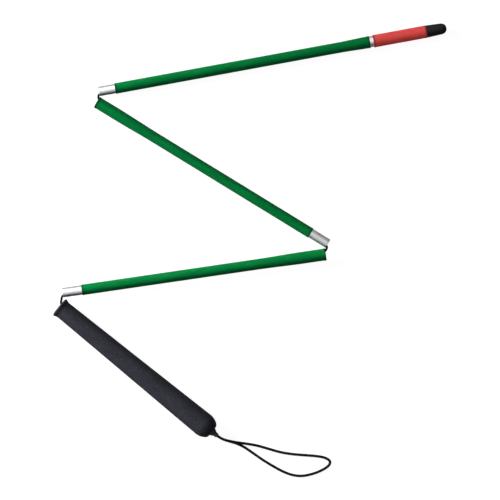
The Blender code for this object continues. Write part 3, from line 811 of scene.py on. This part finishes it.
green_plastic = sleeve_finish("green_shrink_sleeve", GREEN, GREEN_SHINE, GREEN_PEEL_DEPTH)
red_plastic = sleeve_finish("red_shrink_sleeve", RED, RED_SHINE, RED_PEEL_DEPTH)
red_shader = red_plastic.node_tree.nodes["Principled BSDF"]
# Painted light: the band's own faint red glow.
red_shader.inputs["Emission Color"].default_value = (*RED, 1.0)
red_shader.inputs["Emission Strength"].default_value = PAINTED_RED_GLOW
print("sleeve finishes:", green_plastic.name, red_plastic.name)

# %% Sleeve shapes
SLEEVE_GAP = 0.2 * MM
SLEEVE_WALL = 0.45 * MM
RED_BAND_WALL = 0.8 * MM
RED_BAND_LENGTH = 66 * MM
BARE_RING_WIDTH = 4.4 * MM
BARE_ENDS = {2: 23.5 * MM, 3: 24.5 * MM, 4: 20 * MM}
SLEEVE_SIDES = 72
RIPPLE_STEP = 2.5 * MM
SLEEVE_RIPPLE = (0.05 * MM, 17 * MM, 6 * MM)
# Each sleeve ripples in its own way: the shift moves it to another part of the noise.
GREEN_SHIFT = 3.7
RED_SHIFT = 21.0
ENDS_CURL = 0.55 * MM
CURL_REACH = 1.3 * MM
CURL_STEPS = 6
END_BEAD = 0.15 * MM
END_BEAD_LENGTH = 2.4 * MM
BEAD_STEPS = 6


def bead(from_end):
    """How much a shrunk sleeve thickens at a distance from its end."""
    return END_BEAD * max(0.0, 1 - from_end / END_BEAD_LENGTH) ** 2


def sleeve_outline(swage, start, end, wall):
    """A skin of even wall on its tube, with both ends thickened and rounded over."""
    first, last = start + CURL_REACH, end - CURL_REACH
    bends = [x for x in swage.stations() if first < x < last]
    even = np.arange(first + RIPPLE_STEP, last, RIPPLE_STEP)
    head_bead = np.linspace(first, first + END_BEAD_LENGTH, BEAD_STEPS)
    tail_bead = np.linspace(last - END_BEAD_LENGTH, last, BEAD_STEPS)
    outer = [
        (x, swage.outside(x) + SLEEVE_GAP + wall + bead(x - first) + bead(last - x))
        for x in sorted({*bends, *even, *head_bead, *tail_bead})
    ]
    head = quarter(first, outer[0][1] - ENDS_CURL, ENDS_CURL, 180, 90, CURL_STEPS, CURL_REACH)
    tail = quarter(last, outer[-1][1] - ENDS_CURL, ENDS_CURL, 90, 0, CURL_STEPS, CURL_REACH)
    inner = [(x, swage.outside(x) + SLEEVE_GAP) for x in (start, *bends, end)]
    return [*head[:-1], *outer, *tail[1:], *reversed(inner)]


def mark_ends(mesh):
    """Stores how far each point lies from the nearer end of its sleeve."""
    places = [vertex.co.x for vertex in mesh.vertices]
    start, end = min(places), max(places)
    mark = mesh.attributes.new(FROM_END, "FLOAT", "POINT")
    mark.data.foreach_set("value", [min(x - start, end - x) for x in places])


def make_sleeve(name, node, number, start, end, wall, material, shift):
    outline = sleeve_outline(swages[number], start, end, wall)
    ripple = (*SLEEVE_RIPPLE, shift)
    turned(name, node, f"section_{number}", outline, material, SLEEVE_SIDES, ripple, mark_ends)


band_start = TIP_SECTION_LENGTH - RED_BAND_LENGTH
sleeve_ends = {**SECTION_LENGTHS, 4: band_start - BARE_RING_WIDTH}
for number, end in sleeve_ends.items():
    make_sleeve(
        f"green_sleeve_{number}", f"sleeve_{number}", number,
        BARE_ENDS[number], end, SLEEVE_WALL, green_plastic, GREEN_SHIFT * number,
    )
make_sleeve(
    "red_sleeve", "red_band", 4,
    band_start, TIP_SECTION_LENGTH, RED_BAND_WALL, red_plastic, RED_SHIFT,
)

# %% [markdown]
# ## The tip
#
# A pencil tip of black nylon plugs into the last socket. It is moulded smooth, and only its nose,
# which slides over the ground, is scuffed to a dull grey. A mask that rises along the nose mixes
# that wear in. The nose's outline is a superellipse, which is blunter than an ellipse.

# %% Tip
TIP_HEAD_LENGTH = 24.5 * MM
TIP_HEAD_RADIUS = 7.5 * MM
TIP_NOSE_RADIUS = 6.8 * MM
TIP_NOSE_START = 16 * MM
TIP_STEM_LENGTH = 22 * MM
SEAT_GAP = 0.3 * MM
TIP_SHOULDER = 0.6 * MM
NOSE_STEPS = 20
NOSE_POWER = 2.4
TIP_BLACK = (0.011, 0.008, 0.01)
TIP_TONES = (0.85, 1.2)
TIP_SHINE = 0.2
TIP_ROUGHNESS = 0.42
MOULD_GRAIN = (0.5 * MM, 0.5 * MM)
MOULD_DEPTH = 0.01 * MM
WEAR_SCRATCHES = (0.5 * MM, 0.12 * MM)
WEAR_EDGE = (0.45, 0.65)
WEAR_DEPTH = 0.02 * MM
WORN_GREY = (0.03, 0.03, 0.032)
WORN_ROUGHNESS = 0.7


def tip_outline():
    face = TIP_SECTION_LENGTH + SEAT_GAP
    nose = face + TIP_NOSE_START
    reach = TIP_HEAD_LENGTH - TIP_NOSE_START
    stem = TIP_SECTION_LENGTH - TIP_STEM_LENGTH
    edge = TIP_HEAD_RADIUS - TIP_SHOULDER
    shoulder = quarter(face + TIP_SHOULDER, edge, TIP_SHOULDER, 180, 90)
    outline = [(stem, 0), *plain_end(stem), (face, TUBE_RADIUS), (face, edge), *shoulder[1:]]
    bulge = 2 / NOSE_POWER
    for angle in np.linspace(0, math.pi / 2, NOSE_STEPS + 1)[:-1]:
        along = nose + reach * math.sin(angle) ** bulge
        outline.append((along, TIP_NOSE_RADIUS * math.cos(angle) ** bulge))
    return [*outline, (nose + reach, 0)]


def tip_finish():
    material, tree, shader = start_finish("black_tip_nylon", TIP_BLACK, TIP_ROUGHNESS, shine=TIP_SHINE)
    place = own_place(tree)
    grain = noise(tree, place, MOULD_GRAIN, detail=3.0)
    scratches = noise(tree, place, WEAR_SCRATCHES, detail=4.0, shift=4.0)
    along = made(tree, "ShaderNodeSeparateXYZ", {0: place}, "X")
    start, end = (TIP_SECTION_LENGTH + length for length in (TIP_NOSE_START, TIP_HEAD_LENGTH))
    nose = remap(tree, along, start, end, 0.0, 1.0)
    worn = calc(tree, "MULTIPLY", nose, remap(tree, scratches, *WEAR_EDGE, 0.0, 1.0))
    clean = toned(tree, TIP_BLACK, grain, *TIP_TONES)
    tint = vector_calc(tree, "ADD", clean, scaled(tree, WORN_GREY, worn))
    rough = remap(tree, worn, 0.0, 1.0, TIP_ROUGHNESS, WORN_ROUGHNESS)
    end_finish(tree, shader, tint, rough, (grain, MOULD_DEPTH), (worn, WEAR_DEPTH))
    return material


turned(
    "pencil_tip", "tip", "section_4",
    tip_outline(), tip_finish(), TUBE_SIDES, closed=False,
)

# %% [markdown]
# ## The grip
#
# The grip is one moulding of soft black rubber. It starts with a rolled lip round the handle's
# socket, narrows to a neck, and then grows steadily to a full, rounded butt. Its finish is what
# makes it rubber: a fine pebbled grain, pores, duller and paler patches from the hand, and specks
# of dust. The long taper is a quadratic through three radii, and the butt a superellipse.

# %% Grip shape
GRIP_LIP_RADIUS = 12.8 * MM
GRIP_LIP_ROUND = 3.2 * MM
GRIP_LIP_REACH = 2.2 * MM
GRIP_FLARE_LENGTH = 8 * MM
GRIP_FLARE_POWER = 2.2
GRIP_NECK_RADIUS = 11.2 * MM
GRIP_MIDDLE_RADIUS = 12.95 * MM
GRIP_BUTT_RADIUS = 14.8 * MM
BUTT_DOME_LENGTH = 13.5 * MM
BUTT_DOME_POWER = 1.7
BUTT_FLAT_RADIUS = 7.4 * MM
BUTT_RECESS = 0.8 * MM
BUTT_RECESS_RADIUS = 5.8 * MM
BUTT_HOLE_RADIUS = 4.025 * MM
GRIP_BORE = 6.05 * MM
GRIP_SOCKET_BORE = 6.85 * MM
GRIP_SIDES = 128
GRIP_RINGS = 90
DOME_STEPS = 22
LIP_STEPS = 8
GRIP_RIPPLE = (0.09 * MM, 30 * MM, 14 * MM, 2.0)


def grip_outline():
    lip_top = GRIP_LIP_RADIUS - GRIP_LIP_ROUND
    lip = quarter(-GRIP_LIP_REACH, lip_top, GRIP_LIP_ROUND, 0, 90, LIP_STEPS, GRIP_LIP_REACH)
    flare = []
    for t in np.linspace(0, 1, LIP_STEPS + 1)[1:]:
        along = -GRIP_LIP_REACH - (GRIP_FLARE_LENGTH - GRIP_LIP_REACH) * t
        rise = (1 - t) ** GRIP_FLARE_POWER
        flare.append((along, GRIP_NECK_RADIUS + (GRIP_LIP_RADIUS - GRIP_NECK_RADIUS) * rise))
    dome_start = BUTT_DOME_LENGTH - GRIP_LENGTH
    places = (-GRIP_FLARE_LENGTH, -GRIP_LENGTH / 2, dome_start)
    radii = (GRIP_NECK_RADIUS, GRIP_MIDDLE_RADIUS, GRIP_BUTT_RADIUS)
    radius_at = np.poly1d(np.polyfit(places, radii, 2))
    rings = np.linspace(-GRIP_FLARE_LENGTH, dome_start, GRIP_RINGS)[1:]
    taper = [(x, radius_at(x)) for x in rings]
    dome = []
    for angle in np.linspace(0, math.pi / 2, DOME_STEPS + 1)[1:]:
        share = math.sin(angle)
        fall = max(0.0, 1 - share**BUTT_DOME_POWER) ** (1 / BUTT_DOME_POWER)
        radius = BUTT_FLAT_RADIUS + (GRIP_BUTT_RADIUS - BUTT_FLAT_RADIUS) * fall
        dome.append((dome_start - BUTT_DOME_LENGTH * share, radius))
    butt = -GRIP_LENGTH
    inside = [
        (butt, BUTT_RECESS_RADIUS),
        (butt + BUTT_RECESS, BUTT_RECESS_RADIUS),
        (butt + BUTT_RECESS, BUTT_HOLE_RADIUS),
        (butt + BUTT_WALL, BUTT_HOLE_RADIUS),
        (butt + BUTT_WALL, GRIP_BORE),
        (-SOCKET_DEPTH - HANDLE_SWAGE_LENGTH, GRIP_BORE),
        (-SOCKET_DEPTH, GRIP_SOCKET_BORE),
        (0, GRIP_SOCKET_BORE),
    ]
    return [*lip, *flare, *taper, *dome, *inside]


# %% Grip finish
GRIP_BLACK = (0.038, 0.038, 0.05)
GRIP_TONES = (0.8, 1.25)
GRIP_SHINE = 0.06
GRIP_ROUGHNESS = 0.6
DUST = (0.035, 0.035, 0.04)
SPECKS = (1.3 * MM, 1.3 * MM)
SPECK_EDGE = (0.57, 0.7)
PEBBLES = (0.42 * MM, 0.42 * MM)
PEBBLE_DEPTH = 0.05 * MM
PORES = (0.2 * MM, 0.2 * MM)
PORE_EDGE = (0.6, 0.75)
PORE_DULLING = 0.2
PORE_DEPTH = -0.03 * MM
BLOOM = (26 * MM, 9 * MM)
BLOOM_ROUGHNESS = (0.56, 0.66)


def grip_finish():
    material, tree, shader = start_finish("black_grip_rubber", GRIP_BLACK, GRIP_ROUGHNESS, shine=GRIP_SHINE)
    place = own_place(tree)
    pebbles = noise(tree, place, PEBBLES)
    pores = noise(tree, place, PORES, detail=1.0, shift=6.0)
    bloom = noise(tree, place, BLOOM, detail=3.0, shift=2.0)
    specks = noise(tree, place, SPECKS, detail=1.0, shift=13.0)
    rubber = toned(tree, GRIP_BLACK, mixed(tree, bloom, pebbles), *GRIP_TONES)
    dust = scaled(tree, DUST, remap(tree, specks, *SPECK_EDGE, 0.0, 1.0))
    tint = vector_calc(tree, "ADD", rubber, dust)
    porous = remap(tree, pores, *PORE_EDGE, 0.0, PORE_DULLING)
    rough = calc(tree, "ADD", swing(tree, bloom, *BLOOM_ROUGHNESS), porous)
    end_finish(tree, shader, tint, rough, (pebbles, PEBBLE_DEPTH), (pores, PORE_DEPTH))
    return material


turned(
    "rubber_grip", "grip", "handle",
    grip_outline(), grip_finish(), GRIP_SIDES, GRIP_RIPPLE,
)

# %% [markdown]
# ## The cord's grommet
#
# A small rubber grommet sits in a recess in the butt and lets the cord out. Its flange is round,
# and its nose is flattened, because the two strands of cord leave one above the other. It is
# turned like the rest, and its nose is then drawn in sideways.

# %% Grommet
GROMMET_FLANGE_RADIUS = 5.5 * MM
GROMMET_FLANGE = 1.3 * MM
GROMMET_TAPER = 4.2 * MM
GROMMET_BORE = 2.925 * MM
GROMMET_SHANK_RADIUS = 3.725 * MM
GROMMET_END_RADIUS = 3.375 * MM
GROMMET_FLANGE_ROUND = 0.4 * MM
NOSE_ROUND = 0.2 * MM
NOSE_SQUEEZE = 0.8
GROMMET_SIDES = 64
GROMMET_STEPS = 12
GROMMET_BLACK = (0.014, 0.014, 0.015)
GROMMET_TONES = (0.8, 1.3)
GROMMET_ROUGHNESS = 0.5
GROMMET_SWING = (0.45, 0.6)
GROMMET_DEPTH = 0.02 * MM


def grommet_outline():
    seat = -GRIP_LENGTH + BUTT_RECESS - SEAT_GAP
    flange_end = seat - GROMMET_FLANGE
    end = -GRIP_LENGTH - GROMMET_REACH
    inner = -GRIP_LENGTH + BUTT_WALL
    edge = GROMMET_FLANGE_RADIUS - GROMMET_FLANGE_ROUND
    outline = [
        (inner, GROMMET_BORE),
        (inner, GROMMET_SHANK_RADIUS),
        (seat, GROMMET_SHANK_RADIUS),
        (seat, GROMMET_FLANGE_RADIUS),
        *quarter(flange_end + GROMMET_FLANGE_ROUND, edge, GROMMET_FLANGE_ROUND, 90, 180),
    ]
    for t in np.linspace(0, 1, GROMMET_STEPS + 1)[1:]:
        radius = edge + (GROMMET_END_RADIUS - edge) * smooth_step(t)
        outline.append((flange_end - GROMMET_TAPER * t, radius))
    outline += quarter(end + NOSE_ROUND, GROMMET_END_RADIUS - NOSE_ROUND, NOSE_ROUND, 90, 180)
    return [*outline, (end, GROMMET_BORE)]


def squeeze_nose(mesh):
    """Draws the nose in sideways, more towards its end."""
    for vertex in mesh.vertices:
        share = min(1.0, max(0.0, (-GRIP_LENGTH - vertex.co.x) / GROMMET_REACH))
        vertex.co.y *= 1 - (1 - NOSE_SQUEEZE) * share


def grommet_finish():
    material, tree, shader = start_finish("black_grommet_rubber", GROMMET_BLACK, GROMMET_ROUGHNESS)
    grain = noise(tree, own_place(tree), MOULD_GRAIN, detail=3.0)
    tint = toned(tree, GROMMET_BLACK, grain, *GROMMET_TONES)
    rough = swing(tree, grain, *GROMMET_SWING)
    end_finish(tree, shader, tint, rough, (grain, GROMMET_DEPTH))
    return material


turned(
    "butt_grommet", "cord_grommet", "handle",
    grommet_outline(), grommet_finish(), GROMMET_SIDES, reshape=squeeze_nose,
)

# %% [markdown]
# ## The elastic cord
#
# One elastic cord runs through the whole cane. It shows only where a section has been pulled out
# and folded over, as a short black neck between two rims. It is stretched there, so it takes a
# short way round the hinge: an arc that is drawn in towards it at the middle. Each neck is a braid
# along that way. The stretches inside the tubes are braids that ride on their sections.

# %% Elastic necks
ELASTIC_RADIUS = 1.5 * MM
ELASTIC_SIDE = 3.2 * MM
ELASTIC_TUCK = 8 * MM
# How far off its tube's axis the stretched elastic leaves an upper and a lower mouth, and how
# much it is pulled in towards the hinge at the middle of its bend.
UPPER_MOUTH_SIDE = 4.45 * MM
LOWER_MOUTH_SIDE = 3.45 * MM
NECK_PULL = {"a": 2.6 * MM, "b": 1.3 * MM, "c": 1.3 * MM}
BEND_STEPS = 40
ELASTIC_STRANDS = 5
ELASTIC_PITCH = 7 * MM
ELASTIC_STEP = 0.3 * MM


def elastic_braid(name, points, step):
    return braided(name, points, ELASTIC_RADIUS, ELASTIC_STRANDS, ELASTIC_PITCH, step, elastic_yarn)


def bend_points(letter, upper_along, lower_along):
    """A tuck in the upper section, a way round the hinge, and a tuck in the lower one."""
    side = FOLD_SIDE[letter]
    pivot = hinge_place(letter)
    turn = upper_along.angle(lower_along) * side
    outwards = -up.cross(upper_along) * side
    tucked = PIVOT_SIDE[letter] - ELASTIC_SIDE
    first = PIVOT_SIDE[letter] - UPPER_MOUTH_SIDE
    last = PIVOT_SIDE[letter] - LOWER_MOUTH_SIDE
    tuck = JOINT_GAP / 2 + ELASTIC_TUCK
    points = [pivot + outwards * tucked - upper_along * tuck]
    for index in range(BEND_STEPS + 1):
        share = index / BEND_STEPS
        swung = Matrix.Rotation(turn * share, 3, up) @ outwards
        radius = first + (last - first) * share - NECK_PULL[letter] * math.sin(math.pi * share)
        points.append(pivot + swung * radius)
    points.append(pivot + swung * tucked + lower_along * tuck)
    return points


def make_neck(letter, upper_along, lower_along):
    points = bend_points(letter, upper_along, lower_along)
    piece = elastic_braid(f"elastic_neck_{letter}", points, ELASTIC_STEP)
    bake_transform(piece)
    stand_in(piece, f"elastic_bend_{letter}")


make_neck("a", along_handle, along_2)
make_neck("b", along_2, along_3)
make_neck("c", along_3, along_4)

# %% Elastic inside the tubes
INNER_STEP = 0.6 * MM
TIP_PLUG_PLACE = 290 * MM
PLUG_LENGTH = 15 * MM
PLUG_FLANGE = 1.5 * MM
WASHER_THICKNESS = 0.8 * MM


def beside(along, letter):
    """A point beside the tube's axis, on the side of a hinge."""
    return (along, FOLD_SIDE[letter] * ELASTIC_SIDE, 0)


def make_run(number, body, points, joint=None):
    """A straight stretch of elastic through the given points, riding on its body. With a joint it gets a
    mesh of its own.
    """
    world = [frames[body] @ Vector(point) for point in points]
    piece = elastic_braid(f"elastic_run_{number}", world, INNER_STEP)
    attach(piece, body)
    if joint:
        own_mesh(piece)
    stand_in(piece, f"elastic_{number}")


tuck_end = ELASTIC_TUCK + SEAT_GAP
washer_place = -HANDLE_TUBE_LENGTH - PLUG_FLANGE - 2 * SEAT_GAP - WASHER_THICKNESS
plug_end = -HANDLE_TUBE_LENGTH + PLUG_LENGTH
handle_points = [(washer_place, 0, 0), (plug_end, 0, 0), beside(-tuck_end, "a")]
make_run("handle", "handle", handle_points, "push_home_a")
for number, entry, outlet in ((2, "a", "b"), (3, "b", "c")):
    ends = [beside(tuck_end, entry), beside(SECTION_LENGTHS[number] - tuck_end, outlet)]
    make_run(number, f"section_{number}", ends, f"push_home_{outlet}")
tip_knot_place = TIP_PLUG_PLACE + PLUG_LENGTH + 2 * SEAT_GAP + WASHER_THICKNESS
tip_points = [beside(tuck_end, "c"), (TIP_PLUG_PLACE - SEAT_GAP, 0, 0), (tip_knot_place, 0, 0)]
make_run(4, "section_4", tip_points)

# %% [markdown]
# ## Fittings inside the tubes
#
# Plugs, washers and stopper knots hold the elastic at both ends. They are already right as
# engineered and nobody sees them until the cane is taken apart, so they keep their solids and
# only get their finishes: white moulded nylon, zinc-plated steel and black yarn.

# %% Inner fittings
NYLON = (0.7, 0.7, 0.67)
ZINC = (0.55, 0.56, 0.57)
KNOT_BLACK = (0.009, 0.009, 0.01)
FLOW_MARKS = (3 * MM, 1.2 * MM)
SPANGLES = (0.8 * MM, 0.8 * MM)
INNER_TONES = (0.85, 1.1)
INNER_DULLING = 0.08


def inner_finish(name, color, roughness, grain, depth, metallic=0.0):
    """These solids keep no place of their own, so their pattern reads the object's."""
    material, tree, shader = start_finish(name, color, roughness, metallic)
    place = made(tree, "ShaderNodeTexCoord", output="Object")
    pattern = noise(tree, place, grain, detail=3.0)
    tint = toned(tree, color, pattern, *INNER_TONES)
    end_finish(tree, shader, tint, around(tree, pattern, roughness, INNER_DULLING), (pattern, depth))
    return material


white_nylon = inner_finish("white_moulded_nylon", NYLON, 0.5, FLOW_MARKS, 0.02 * MM)
zinc_plate = inner_finish("zinc_plated_steel", ZINC, 0.35, SPANGLES, 0.01 * MM, metallic=1.0)
knot_yarn = inner_finish("knotted_yarn", KNOT_BLACK, 0.8, FIBRE, 0.05 * MM)
inner_finishes = {
    "plug": (white_nylon, ["handle", "tip"]),
    "washer": (zinc_plate, ["handle", "tip"]),
    "knot": (knot_yarn, ["handle", "tip", "wrist"]),
}
for fitting, (material, owners) in inner_finishes.items():
    for owner in owners:
        for slot in frame["nodes"][f"{owner}_{fitting}"].material_slots:
            slot.material = material
    print(fitting, "finished:", material.name)

# %% [markdown]
# ## Floor and light
#
# The photograph has a pure white ground and one large soft light from the left, a little up the
# page. To the camera the floor glows nearly white and so holds only a faint shadow. Reflections
# see it pale. For the light that it throws back on the cane it stays grey, which keeps the dark
# edges that give the tubes their roundness.

# %% Floor
FLOOR_SIZE = 12
# For each kind of ray: (how pale the floor is, how much it glows).
FLOOR_FOR_CAMERA = (0.3, 0.94)
FLOOR_FOR_REFLECTIONS = (0.6, 0.0)
FLOOR_FOR_BOUNCE = (0.2, 0.0)


def for_each_ray(tree, camera, reflection, bounce):
    """One number for rays that the camera or a clear material sees, one for reflections, one more."""
    path = add_node(tree, "ShaderNodeLightPath").outputs
    clear = calc(tree, "MAXIMUM", path["Is Camera Ray"], path["Is Transmission Ray"])
    indirect = remap(tree, path["Is Glossy Ray"], 0.0, 1.0, bounce, reflection)
    return remap(tree, clear, 0.0, 1.0, indirect, camera)


def floor_finish():
    material = bpy.data.materials.new("pale_floor")
    material.use_nodes = True
    tree = material.node_tree
    tree.nodes.clear()
    tones, glows = zip(FLOOR_FOR_CAMERA, FLOOR_FOR_REFLECTIONS, FLOOR_FOR_BOUNCE)
    lit = made(tree, "ShaderNodeBsdfDiffuse", {"Color": for_each_ray(tree, *tones)})
    own = made(tree, "ShaderNodeEmission", {"Strength": for_each_ray(tree, *glows)})
    both = made(tree, "ShaderNodeAddShader", {0: lit, 1: own})
    add_node(tree, "ShaderNodeOutputMaterial", {"Surface": both})
    return material


half = FLOOR_SIZE / 2
floor_mesh = bpy.data.meshes.new("floor")
corners = [(half * x, half * y, 0) for x, y in ((-1, -1), (1, -1), (1, 1), (-1, 1))]
floor_mesh.from_pydata(corners, [], [(0, 1, 2, 3)])
floor_mesh.materials.append(floor_finish())
floor = bpy.data.objects.new("floor", floor_mesh)
bpy.context.scene.collection.objects.link(floor)
print(f"floor {FLOOR_SIZE} m square")

# %% Lights
WORLD_FILL = 0.09
# Reflections see walls and a ceiling that grow brighter towards the side of the key light.
WALL_WAY = (-0.87, 0.5, 0.0)
WALL_SHINE = 0.4
WALL_GAIN = 13.0
BRIGHTEST_WALL = 1.1
CEILING_SHINE = 0.85
CEILING_GAIN = 0.8
CEILING_EDGE = (0.2, 0.95)


def soft_light(name, power, size, distance, azimuth, elevation, aim, spread):
    """A square soft light that looks at a point on the floor. Its beam fades out at its spread."""
    data = bpy.data.lights.new(name, "AREA")
    data.energy = power
    data.size = size
    data.spread = math.radians(spread)
    light = bpy.data.objects.new(name, data)
    turn, lift = math.radians(azimuth), math.radians(elevation)
    way = Vector((math.cos(turn) * math.cos(lift), math.sin(turn) * math.cos(lift), math.sin(lift)))
    light.location = way * distance
    facing = light.location - Vector((*aim, 0))
    light.rotation_euler = facing.to_track_quat("Z", "Y").to_euler()
    bpy.context.scene.collection.objects.link(light)


def studio_world():
    """White where the camera sees it. Reflections see a room that fades away from the light."""
    world = bpy.data.worlds.new("studio")
    world.use_nodes = True
    tree = world.node_tree
    tree.nodes.clear()
    way = made(tree, "ShaderNodeTexCoord", output="Generated")
    side = made(tree, "ShaderNodeVectorMath", {0: way, 1: WALL_WAY}, "Value", operation="DOT_PRODUCT")
    growth = calc(tree, "POWER", WALL_GAIN, side)
    wall = calc(tree, "MINIMUM", calc(tree, "MULTIPLY", growth, WALL_SHINE), BRIGHTEST_WALL)
    ceiling = calc(tree, "ADD", calc(tree, "MULTIPLY", side, CEILING_GAIN), CEILING_SHINE)
    height = made(tree, "ShaderNodeSeparateXYZ", {0: way}, "Z")
    shine = remap(tree, height, *CEILING_EDGE, wall, ceiling)
    strength = for_each_ray(tree, 1.0, shine, WORLD_FILL)
    sky = made(tree, "ShaderNodeBackground", {"Color": (1, 1, 1, 1), "Strength": strength})
    add_node(tree, "ShaderNodeOutputWorld", {"Surface": sky})
    return world


soft_light(
    "key_light", power=9.7, size=1.1, distance=2.0,
    azimuth=160, elevation=20, aim=(-0.45, -0.15), spread=59,
)
soft_light(
    "fill_light", power=1.8, size=1.6, distance=1.8,
    azimuth=120, elevation=75, aim=(0, 0), spread=180,
)
bpy.context.scene.world = studio_world()
bpy.context.scene.view_settings.view_transform = "Standard"
print("lights ready")
